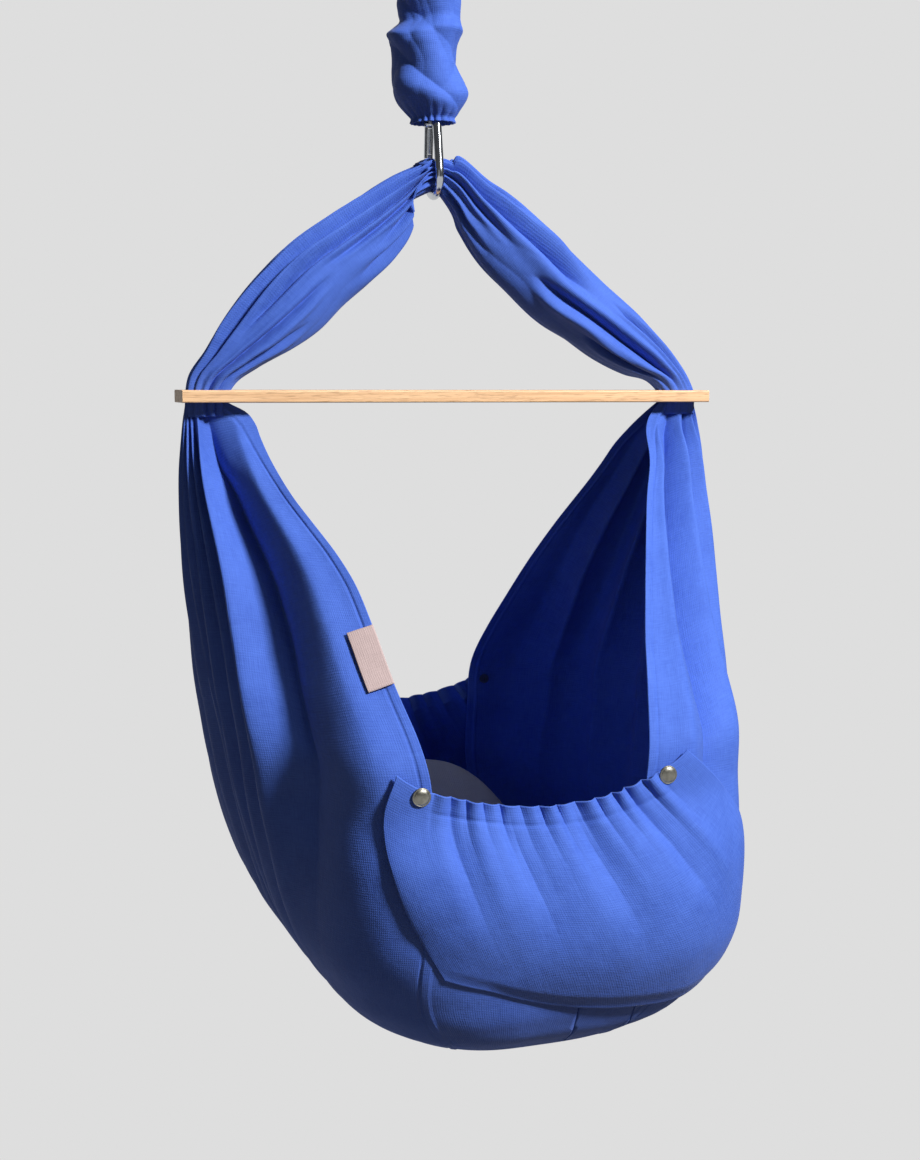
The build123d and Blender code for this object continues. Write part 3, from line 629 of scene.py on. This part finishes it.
def part_at_seams(whole):
    """Cuts the cloth form at the two base seams into its three panels."""
    area = {"left_side_cloth": ("left_side_panel", -1e3, BASE_SEAMS[0], 0.74, 1.12, 0.5),
            "base_cloth": ("base_panel", BASE_SEAMS[0], BASE_SEAMS[1], 0.07, 0.62, 0.035),
            "right_side_cloth": ("right_side_panel", BASE_SEAMS[1], 1e3, 0.7, 1.0, 0.43)}
    for name, (node, low, high, width, length, size) in area.items():
        work = bmesh.new()
        work.from_mesh(whole.data)
        for x, side in ((low, 1), (high, -1)):
            if abs(x) < 900:
                place = Vector(((BED_X + x + side * 0.5) * MM, 0, 0))
                bmesh.ops.bisect_plane(work, geom=work.verts[:] + work.edges[:] + work.faces[:],
                                       plane_co=place, plane_no=(-side, 0, 0), clear_outer=True)
        mesh = bpy.data.meshes.new(name)
        work.to_mesh(mesh)
        work.free()
        mesh.shade_smooth()
        piece = bpy.data.objects.new(name, mesh)
        bpy.context.scene.collection.objects.link(piece)
        thicken(piece, sizes().cloth / MM)
        finish_piece(piece, canvas(), "cradle", "canvas", node)
    bpy.data.objects.remove(whole)


# ------------------------------------------------------------------ arms

# Each crease of an arm: its place round the bundle (0 the upper edge, pi the lower one) at the
# hook, half way and at the slot, its width, depth, and the shares of the arm where it starts and ends.
LEFT_CREASES = [
    (0.75, 0.45, 0.5, 0.07, 1.2, 0.0, 0.95), (1.05, 0.8, 0.8, 0.09, 1.6, 0.0, 1.0),
    (1.35, 1.15, 1.05, 0.08, 1.5, 0.0, 0.8), (1.6, 1.45, 1.3, 0.06, 1.1, 0.0, 0.5),
    (1.9, 1.9, 1.6, 0.1, 1.0, 0.02, 0.35), (1.5, 1.75, 1.5, 0.08, 1.4, 0.55, 1.1),
    (2.3, 2.3, 2.0, 0.1, 1.2, 0.7, 1.1), (2.45, 2.35, 2.3, 0.16, 0.9, 0.1, 0.45),
    (0.3, 0.2, 0.25, 0.1, 0.8, 0.5, 1.1)]
RIGHT_CREASES = [
    (0.6, 0.75, 0.7, 0.07, 1.1, 0.0, 0.4), (1.0, 1.15, 1.2, 0.16, 2.4, 0.0, 0.62),
    (1.5, 1.65, 1.45, 0.08, 1.2, 0.0, 0.35), (2.2, 1.85, 1.5, 0.13, 2.0, 0.5, 1.1),
    (2.4, 2.45, 2.3, 0.1, 1.0, 0.0, 0.3), (0.9, 0.9, 0.85, 0.07, 1.2, 0.75, 1.1),
    (2.4, 2.4, 2.1, 0.08, 1.2, 0.75, 1.1), (0.4, 0.35, 0.4, 0.09, 0.8, 0.7, 1.1)]
BACK_CREASES = [
    (0.5, 0.6, 0.5, 0.08, 1.2, 0.0, 0.9), (1.0, 1.1, 1.0, 0.12, 1.8, 0.0, 1.1),
    (1.5, 1.6, 1.4, 0.08, 1.2, 0.0, 0.5), (2.0, 1.9, 1.9, 0.12, 1.6, 0.4, 1.1),
    (2.5, 2.4, 2.3, 0.1, 1.0, 0.1, 0.8)]


ARM_SPAN = 245.0


def creases(angle, along, rows):
    """Sharp valleys that fan out along an arm, each the fall of a pointed curve about its own line."""
    field = np.zeros(np.broadcast(angle, along).shape)
    for first, half_way, last, width, deep, start, end in rows:
        bend = first + last - 2 * half_way
        line = first + (4 * half_way - 3 * first - last) * along + 2 * bend * along ** 2
        shown = ease(along, start - 0.1, start + 0.08) * (1 - ease(along, end - 0.22, end))
        off = angle - line
        field -= deep * shown * np.exp(-np.abs(off / width) ** 1.2)
        lips = bump(off, 2 * width, 1.5 * width) + bump(off, -2 * width, 1.5 * width)
        field += 0.45 * deep * shown * lips
    return field


def saddle_arc():
    """The bundle's run over the hook's wire, as rows like those of the arms."""
    angle = np.radians(np.linspace(-30, 30, 7))
    radius = 20.0
    return np.column_stack([radius * np.sin(angle), 197.5 + radius * np.cos(angle),
                            14.5 * np.sin(angle), 14.5 * np.cos(angle), np.full(7, 15)])


class BuildArms(bpy.types.Operator):
    """Gathered cloth from slot to slot over the hook"""
    bl_idname = "cradle.arms"
    bl_label = "Sling arms"

    def execute(self, context):
        rows = np.concatenate([LEFT_ARM[::-1], saddle_arc(), RIGHT_ARM])
        share = np.linspace(0, 1, 340)
        line = along_path(rows, share)
        around = np.linspace(0, 2 * np.pi, 200, endpoint=False)
        centre = np.column_stack([line[:, 0], np.zeros(len(line)), line[:, 1]])
        high = np.column_stack([line[:, 2], np.zeros(len(line)), line[:, 3]])
        a = around[None, :]
        side = line[:, 0:1]
        along = np.abs(side) / ARM_SPAN
        dents = np.where(side < 0, creases(a, along, LEFT_CREASES), creases(a, along, RIGHT_CREASES))
        back = creases(2 * np.pi - a, along, BACK_CREASES)
        size = np.linalg.norm(high, axis=1)[:, None]
        ripple = pleat(7 * a + 4 * along + 1.5 * np.sin(2 * a + 9 * along)) * 0.05
        drawn_in = np.maximum(bump(along, 0, 0.1), bump(along, 0.97, 0.12))
        gather = pleat(15 * a + 2 * np.sin(a)) * 0.1 * drawn_in
        depth = sizes().arm_fold * (dents + back) * np.minimum(1, 30 / size)
        reach = np.maximum(0.45, 1 + depth + ripple + gather)
        across = np.cos(a)[..., None] * high[:, None, :]
        thick = (np.sin(a) * line[:, 4:5])[..., None] * np.array([0, -1, 0])
        points = centre[:, None, :] + (across + thick) * reach[..., None]
        run = lengths(centre) * MM
        u = np.linspace(0, 0.42, len(around) + 1)
        uv = np.stack(np.broadcast_arrays(u[None, :], run[:, None]), axis=-1)
        piece = surface("sling_arms", to_frame(points), uv, round_u=True)
        tidy_mesh(piece)
        thicken(piece, sizes().cloth / MM)
        finish_piece(piece, canvas(), "cradle", "canvas", "sling_loop")
        return {"FINISHED"}


# ------------------------------------------------------------------ end panels

def panel_grid(end, columns, rows):
    """End panel: its four edges blended into a grid of direction and depth on the body.

    Every inside point is the sum of the two ways of ruling between opposite edges, less the
    ruling between the four corners.
    """
    u = np.linspace(0, 1, columns)
    v = np.linspace(0, 1, rows)

    def edge(line, share):
        at = along_path(line, share)
        return np.stack([turn_at(at[:, 0], at[:, 1], -1), at[:, 1]], axis=-1)

    top = edge(FLAP_TOP, u)[None]
    bottom = edge(FLAP_BOTTOM, u)[None]
    left = edge(FLAP_LEFT, v)[:, None]
    right = edge(FLAP_RIGHT, v)[:, None]
    vv = v[:, None, None]
    uu = u[None, :, None]
    grid = (1 - vv) * top + vv * bottom + (1 - uu) * left + uu * right
    grid -= ((1 - vv) * (1 - uu) * top[:, :1] + (1 - vv) * uu * top[:, -1:]
             + vv * (1 - uu) * bottom[:, :1] + vv * uu * bottom[:, -1:])
    return u, v, grid[..., 0], grid[..., 1]


# Depth of the elastic's casing, whose stitching draws a groove.
CASING = 17.0


class BuildEndPanels(bpy.types.Operator):
    """Front and rear panels with their drawn-up elastic edges"""
    bl_idname = "cradle.end_panels"
    bl_label = "End panels"

    def execute(self, context):
        for name, end, seed in (("front", -1, 11), ("rear", 1, 17)):
            u, v, turn, depth = panel_grid(end, 300, 130)
            stand = 1.6 + 4.4 * (1 - ease(v[:, None], 0.35, 0.95)) * np.ones_like(turn)
            points = on_body(turn, depth, stand)
            normal = surface_normals(points)
            normal *= np.sign(np.sum(normal * (points - [BED_X, 0, -400]), axis=-1, keepdims=True))
            uu = np.broadcast_to(u, turn.shape)
            top_depth = depth[:1]
            below = np.maximum(depth - top_depth, 0)
            count = sizes().pleats
            gathered = ease(uu, 0.1, 0.17) * (1 - ease(uu, 0.83, 0.9))
            phase = 2 * np.pi * count * (uu + 0.012 * waves(uu, seed, 5, 0.5))
            soft = pleat(phase) * np.exp(-below / 24) + 0.4 * pleat(phase * 0.5 + 1) * np.exp(-below / 55)
            radiate = pleat(phase * 0.3 + 0.4) * bump(below, 50, 50) * 1.1
            vv = v[:, None]
            lift = sizes().pleat_depth / MM * (soft + radiate) * gathered
            belly = bump(vv, 0.62, 0.36) - bump(0, 0.62, 0.36) * (1 - vv)
            lift += sizes().bulge / MM * np.sin(np.pi * np.clip(uu, 0, 1)) ** 0.7 * belly * (
                1 - ease(vv, 0.9, 1.0) * 0.9)
            lift += 1.1 * waves(uu * 2 + vv * 1.3, seed + 3, 5, 1.0) * np.sin(np.pi * vv)
            lift -= bump(below, CASING, 2.5) * gathered
            points = points + normal * lift[..., None]
            points[..., 1] *= -end
            run = lengths(points[60]) * MM
            fall = lengths(points[:, 150]) * MM
            uv = np.stack(np.broadcast_arrays(run[None, :], -fall[:, None]), axis=-1)
            piece = surface(name + "_end_cloth", to_frame(points), uv, flip=end > 0)
            thicken(piece, 1.4)
            finish_piece(piece, canvas(), None, "canvas", name + "_end_panel", name + "_elastic")
            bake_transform(piece)
        return {"FINISHED"}


# ------------------------------------------------------------------ sleeve and spring

class BuildSleeve(bpy.types.Operator):
    """Crumpled cloth tube over the spring: rings whose radius carries slanting folds and gathers"""
    bl_idname = "cradle.sleeve"
    bl_label = "Spring sleeve"

    def execute(self, context):
        height = np.linspace(SLEEVE[0, 0], SLEEVE[-1, 0], 260)
        middle, radius = smooth_line(SLEEVE, height)
        around = np.linspace(0, 2 * np.pi, 240, endpoint=False)
        a = around[None, :]
        z = height[:, None]
        ends = ease(z, 268, 290) * (1 - ease(z, 500, 525))
        slant = pleat(2 * a + (z - 266) * 0.1 + 1.2 * np.sin(a + z / 40)) * 0.14
        counter = pleat(3 * a - (z - 266) * 0.045 + 2.3 * np.sin(z / 31)) * 0.08
        small = pleat(7 * a + (z - 266) * 0.05 + 2 * np.sin(z / 17 + a)) * 0.04
        mouth = np.maximum(bump(z, 267, 11), bump(z, 526, 11))
        gather = pleat(18 * a + 1.5 * np.sin(3 * a)) * 0.13 * mouth
        reach = radius[:, None] * (1 + (slant + counter + small + 0.04) * ends + gather)
        slump = 2.5 * np.sin(2 * a + z / 22) * ends
        points = np.stack([middle[:, None] * ends.clip(0.05) + reach * np.cos(a), reach * np.sin(a),
                           z + slump], axis=-1)
        # The crumpled cloth is a quarter longer than the height it covers.
        u = np.linspace(0, 0.24, len(around) + 1)
        v = (height - height[0]) * MM * 1.25
        uv = np.stack(np.broadcast_arrays(u[None, :], v[:, None]), axis=-1)
        piece = surface("sleeve_cloth", to_frame(points), uv, round_u=True)
        tidy_mesh(piece)
        thicken(piece, 1.0)
        finish_piece(piece, canvas(), None, "canvas", "spring_sleeve", "sleeve_elastic_top",
                     "sleeve_elastic_bottom")
        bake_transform(piece)
        return {"FINISHED"}


# The spring's own measures, in metres.
WIRE_RADIUS = 0.0018
EYE_RADIUS = 0.012
COIL_RADIUS = 0.019
COIL_LENGTH = 0.135
COIL_TURNS = 25


class BuildSpring(bpy.types.Operator):
    """Coil spring that stretches between its two eyes: a helix, two straight necks and two rings"""
    bl_idname = "cradle.spring"
    bl_label = "Suspension spring"

    def execute(self, context):
        low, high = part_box("suspension_spring")
        top_eye = high[2] - EYE_RADIUS - WIRE_RADIUS
        low_eye = low[2] + EYE_RADIUS + WIRE_RADIUS
        t = np.linspace(0, 1, 1200)
        angle = 2 * np.pi * COIL_TURNS * t
        coil = np.column_stack([COIL_RADIUS * np.cos(angle), COIL_RADIUS * np.sin(angle),
                                (top_eye + low_eye) / 2 + COIL_LENGTH * (t - 0.5)])
        k = np.linspace(0, 1, 40)[1:]
        loop = np.radians(-90 + 360 * k)
        necks, rings = [], []
        for end, eye, sign in ((coil[-1], top_eye, 1), (coil[0], low_eye, -1)):
            ring = np.column_stack([EYE_RADIUS * np.cos(loop), 0 * k,
                                    eye + sign * EYE_RADIUS * np.sin(loop)])
            necks.append(end + (ring[0] - end) * k[:, None])
            rings.append(ring)
        path = np.concatenate([rings[1][::-1], necks[1][::-1], coil, necks[0], rings[0]])
        piece = tube("suspension_coil", path, WIRE_RADIUS, 10)
        finish_piece(piece, steel("spring wire steel", 0.34), None, "spring_steel", "suspension_spring")
        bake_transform(piece)
        return {"FINISHED"}


def tube(name, path, radius, sides):
    """A round wire along a path: rings square to the run, turned as little as possible."""
    path = np.asarray(path, float)
    run = np.gradient(path, axis=0)
    run /= np.maximum(np.linalg.norm(run, axis=1, keepdims=True), 1e-12)
    radial = np.column_stack([path[:, 0], path[:, 1], np.zeros(len(path))])
    radial[np.linalg.norm(radial, axis=1) < 1e-4] = (0, 1, 0)
    first = np.cross(run, np.where(np.abs(run[:, 2:3]) < 0.5, [[0.0, 0.0, 1.0]], radial))
    first /= np.maximum(np.linalg.norm(first, axis=1, keepdims=True), 1e-12)
    second = np.cross(run, first)
    a = np.linspace(0, 2 * np.pi, sides, endpoint=False)[None, :, None]
    points = path[:, None] + radius * (np.cos(a) * first[:, None] + np.sin(a) * second[:, None])
    piece = surface(name, points, None, round_u=True)
    tidy_mesh(piece)
    return piece


def steel(name, roughness):
    """Drawn or turned steel: bright, with short dull streaks along the work."""
    return cached(worked_metal, name, tuple(colours().steel), roughness)


# ------------------------------------------------------------------ mattress

# Depth of the mattress's underside, how far it rises by 250 mm from the middle, and its plan.
PAD_LOW = 583.0
PAD_RISE = 120.0
PAD_HALF_WIDTH = 133.0
PAD_HALF_LENGTH = 248.0


class BuildMattress(bpy.types.Operator):
    """Soft mattress that follows the bed up at both ends.

    Its plan is |x/a|^p + |y/b|^p = 1, its section the same kind of curve, and its middle a parabola.
    """
    bl_idname = "cradle.mattress"
    bl_label = "Mattress"

    def execute(self, context):
        thick = sizes().pad / MM
        around = np.linspace(0, 2 * np.pi, 220, endpoint=False)[None, :]
        level = np.linspace(-1, 1, 90)[:, None]
        c = np.cos(around)
        s = np.sin(around)
        power = 3.4
        outline = (np.abs(c) ** power + np.abs(s) ** power) ** (-1 / power)
        belly = (1 - np.abs(level) ** 3.2) ** (1 / 2.2)
        share = np.where(np.abs(level) > 0.999, 0, belly) ** 0.9
        x = BED_X + PAD_HALF_WIDTH * outline * c * share
        y = PAD_HALF_LENGTH * outline * s * share
        swell = np.sign(level) * (1 - (1 - np.abs(level)) ** 1.8)
        pinch = 1 - 0.25 * share ** 6
        z_mid = -(PAD_LOW - thick / 2) + PAD_RISE * (y / 250) ** 2
        ripple = 1.3 * waves(x / 90 + y / 140, 21, 4, 1.0) * (1 - share ** 8) * ease(level, -0.2, 0.4)
        z = z_mid + thick / 2 * swell * pinch + ripple
        points = np.stack([x, y, z], axis=-1)
        flat = np.stack([x, y], axis=-1) * MM
        uv = np.concatenate([flat, flat[:, :1]], axis=1)
        piece = surface("mattress_pad", to_frame(points), uv, round_u=True)
        tidy_mesh(piece)
        cloth = cached(woven_cloth, "mattress cotton", tuple(colours().mattress),
                       tuple(0.8 * v for v in colours().mattress), roughness=0.85, sheen=0.3)
        finish_piece(piece, cloth, "mattress", "mattress_cloth", "mattress_cover", "mattress_core")
        return {"FINISHED"}


# ------------------------------------------------------------------ label

class BuildLabel(bpy.types.Operator):
    """Blank woven label folded over the front hem of the left side"""
    bl_idname = "cradle.label"
    bl_label = "Label"

    def execute(self, context):
        depth = np.linspace(204, 252, 30)
        reach = np.linspace(-23, 0.5, 24)
        grid_depth = depth[:, None] - reach * 0.3 - 4
        grid_x = reach - smooth_line(LEFT_HEM, depth)[0][:, None]
        points = on_body(turn_at(grid_x, grid_depth, -1), grid_depth, 3.2)
        flat = np.stack(np.broadcast_arrays(reach[None, :], depth[:, None]), axis=-1) * MM
        piece = surface("hem_label", to_frame(points), flat)
        thicken(piece, 0.8)
        cloth = cached(woven_cloth, "label tape", tuple(colours().label),
                       tuple(0.82 * v for v in colours().label), thread=0.9, roughness=0.7, sheen=0.15)
        finish_piece(piece, cloth, "cradle", "label", "side_label")
        return {"FINISHED"}


# ------------------------------------------------------------------ press-stud caps

# Outline that is turned round the cap's axis, as radius and height in millimetres, then the
# nominal radius and how far the seat is behind the cap's face, in metres.
CAP_LINE = np.array([
    (0.0, 3.3), (2.5, 3.2), (4.6, 2.9), (6.2, 2.3), (7.0, 1.65), (7.35, 1.5), (7.8, 1.75), (8.2, 1.5),
    (8.5, 0.9), (8.3, 0.1), (7.6, -0.3), (3.0, -0.5), (2.0, -0.8), (2.0, -4.2), (0.0, -4.2)])
CAP_RADIUS = 0.0075
CAP_SEAT = 0.0018


class BuildCaps(bpy.types.Operator):
    """Domed caps with a rolled rim on the four tabs: an outline turned round an axis"""
    bl_idname = "cradle.caps"
    bl_label = "Press-stud caps"

    def execute(self, context):
        radius, out = along_path(CAP_LINE, np.linspace(0, 1, 70)).T
        around = np.linspace(0, 2 * np.pi, 48, endpoint=False)
        for name, end in (("front", -1), ("rear", 1)):
            low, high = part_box(name + "_snap_caps")
            domes = []
            base = low[1] + CAP_SEAT if end < 0 else high[1] - CAP_SEAT
            for centre in (low[0] + CAP_RADIUS, high[0] - CAP_RADIUS):
                x = centre + radius[:, None] * np.cos(around) * MM
                z = (low[2] + high[2]) / 2 + radius[:, None] * np.sin(around) * MM
                y = base + end * out[:, None] * MM + 0 * around
                domes.append(surface(name + "_dome", np.stack([x, y, z], axis=-1), round_u=True,
                                     flip=end < 0))
            piece = join(name + "_cap_domes", domes)
            tidy_mesh(piece)
            finish_piece(piece, antique_nickel(), name + "_flap", "snap_nickel", name + "_snap_caps")
        return {"FINISHED"}


def antique_nickel():
    """Nickel plate rubbed back over a dark coat, which shows through in random patches about 5 mm across.
    """
    return cached(worked_metal, "antique nickel", srgb("9A988E"), 0.36, streak=(60, 60, 60), wear=0.1,
                  dark=srgb("5A5852"))


# ------------------------------------------------------------------ CAD pieces that stay

class FinishMetal(bpy.types.Operator):
    """Finishes for the swivel, hooks, gates and press studs"""
    bl_idname = "cradle.metal"
    bl_label = "Metal finishes"

    def execute(self, context):
        bright = cached(worked_metal, "polished hook steel", tuple(colours().steel), 0.16,
                        streak=(60, 60, 14), wear=0.06)
        turned = steel("turned swivel steel", 0.3)
        nickel = antique_nickel()
        chosen = {"swivel_housing": turned, "swivel_retainer": turned, "swivel_pin": turned,
                  "swivel_balls": bright, "swivel_bottom_eye": turned}
        for end in ("upper", "lower"):
            chosen.update({end + "_snap_hook": bright, end + "_gate": bright, end + "_gate_rivet": turned})
        for end in ("front", "rear"):
            for part in ("_snap_sockets", "_snap_studs", "_snap_backs"):
                chosen[end + part] = nickel
        for node, material in chosen.items():
            paint(node, material)
        return {"FINISHED"}


class FinishBar(bpy.types.Operator):
    """Oiled oak for the spreader bar"""
    bl_idname = "cradle.bar"
    bl_label = "Spreader bar"

    def execute(self, context):
        paint("spreader_bar", cached(oiled_oak, "oiled oak", tuple(colours().oak), srgb("B07B4C")))
        return {"FINISHED"}


def paint(node, material):
    """Assigns a material to every slot of a CAD node."""
    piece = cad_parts[node]
    for slot in piece.material_slots:
        slot.link = "OBJECT"
        slot.material = material
    if not piece.material_slots:
        piece.data.materials.append(material)


# ------------------------------------------------------------------ stage

class BuildStage(bpy.types.Operator):
    """Pale floor, soft studio light and the camera"""
    bl_idname = "cradle.stage"
    bl_label = "Stage"

    def execute(self, context):
        scene = bpy.context.scene
        scene.view_settings.view_transform = "Standard"
        add_floor()
        add_lights()
        add_camera()
        return {"FINISHED"}


def add_floor():
    """A sweep that runs level, then curves up into a wall far behind."""
    run = np.linspace(-9, 9, 3)
    bend = np.linspace(0, np.pi / 2, 20)[1:]
    line = np.concatenate([np.column_stack([np.linspace(-7, 4, 12), np.full(12, -2.0)]),
                           np.column_stack([4 + 3 * np.sin(bend), 1 - 3 * np.cos(bend)]), [(7, 8.0)]])
    points = np.stack(np.broadcast_arrays(run[None, :], line[:, :1], line[:, 1:]), axis=-1)
    floor = surface("studio_floor", points)
    material, tree, shader = new_material("matt studio paper")
    shader.inputs["Base Color"].default_value = with_alpha((0.0, 0.0, 0.0))
    shader.inputs["Roughness"].default_value = 1.0
    shader.inputs["Specular IOR Level"].default_value = 0.0
    shader.inputs["Emission Color"].default_value = with_alpha(srgb("DEDEDE"))
    shader.inputs["Emission Strength"].default_value = 1.0
    floor.data.materials.append(material)
    floor.visible_diffuse = False


def add_lights():
    """A small key from the right front and above, a weak fill from the left front and a top light.

    Each is a name, a place, a size in metres and a power in watts.
    """
    world = bpy.context.scene.world or bpy.data.worlds.new("studio")
    bpy.context.scene.world = world
    world.use_nodes = True
    back = world.node_tree.nodes["Background"]
    back.inputs["Color"].default_value = with_alpha(srgb("F4F6FA"))
    back.inputs["Strength"].default_value = 0.07
    for name, place, size, power in (("key", (1.75, -2.5, 1.35), 0.55, 225),
                                     ("fill", (-1.6, -2.6, -0.4), 1.6, 2.5),
                                     ("top", (0.3, -0.3, 1.5), 0.9, 10)):
        light = bpy.data.lights.new(name, "AREA")
        light.energy = power
        light.size = size
        lamp = bpy.data.objects.new(name, light)
        lamp.location = place
        aim = Vector((0, 0, -0.75)) - Vector(place)
        lamp.rotation_euler = aim.to_track_quat("-Z", "Y").to_euler()
        bpy.context.scene.collection.objects.link(lamp)


def add_camera():
    """Camera a little left of the front, level with the bar and looking slightly down."""
    azimuth = math.radians(16.9)
    pitch = math.radians(7.05)
    roll = math.radians(-1.05)
    distance = 1.79
    above_bar = 0.036
    ahead = Vector((math.sin(azimuth), math.cos(azimuth), 0))
    forward = ahead * math.cos(pitch) - Vector((0, 0, math.sin(pitch)))
    side = Vector((math.cos(azimuth), -math.sin(azimuth), 0))
    up = side.cross(forward)
    right = side * math.cos(roll) + up * math.sin(roll)
    top = -side * math.sin(roll) + up * math.cos(roll)
    turn = Matrix((right, top, -forward)).transposed()
    place = -distance * ahead + Vector((0, 0, BAR_Z * MM + above_bar))
    camera = bpy.data.cameras.new("camera")
    camera.lens = 55.18
    camera.sensor_width = 36
    camera.shift_x = 0.0162
    holder = bpy.data.objects.new("camera", camera)
    holder.matrix_world = Matrix.Translation(place) @ turn.to_4x4()
    bpy.context.scene.collection.objects.link(holder)
    bpy.context.scene.camera = holder


# ------------------------------------------------------------------ panel and registration

STEPS = (BuildStage, FinishMetal, FinishBar, BuildBody, BuildArms, BuildEndPanels, BuildSleeve,
         BuildSpring, BuildMattress, BuildLabel, BuildCaps)


class CradlePanel(bpy.types.Panel):
    """Lists the sizes, the colours and the building steps"""
    bl_idname = "CRADLE_PT_build"
    bl_label = "Hanging cradle"
    bl_space_type = "VIEW_3D"
    bl_region_type = "UI"
    bl_category = "Cradle"

    def draw(self, context):
        for group in (sizes(), colours()):
            for key in group.__annotations__:
                self.layout.prop(group, key)
        for step in STEPS:
            self.layout.operator(step.bl_idname)


CLASSES = (CradleSizes, CradleColours, *STEPS, CradlePanel)


def register():
    for item in CLASSES:
        bpy.utils.register_class(item)
    bpy.types.Scene.cradle_sizes = PointerProperty(type=CradleSizes)
    bpy.types.Scene.cradle_colours = PointerProperty(type=CradleColours)


def unregister():
    del bpy.types.Scene.cradle_colours
    del bpy.types.Scene.cradle_sizes
    for item in reversed(CLASSES):
        bpy.utils.unregister_class(item)


def main():
    register()
    for step in STEPS:
        group, name = step.bl_idname.split(".")
        getattr(getattr(bpy.ops, group), name)()


if __name__ == "__main__":
    main()
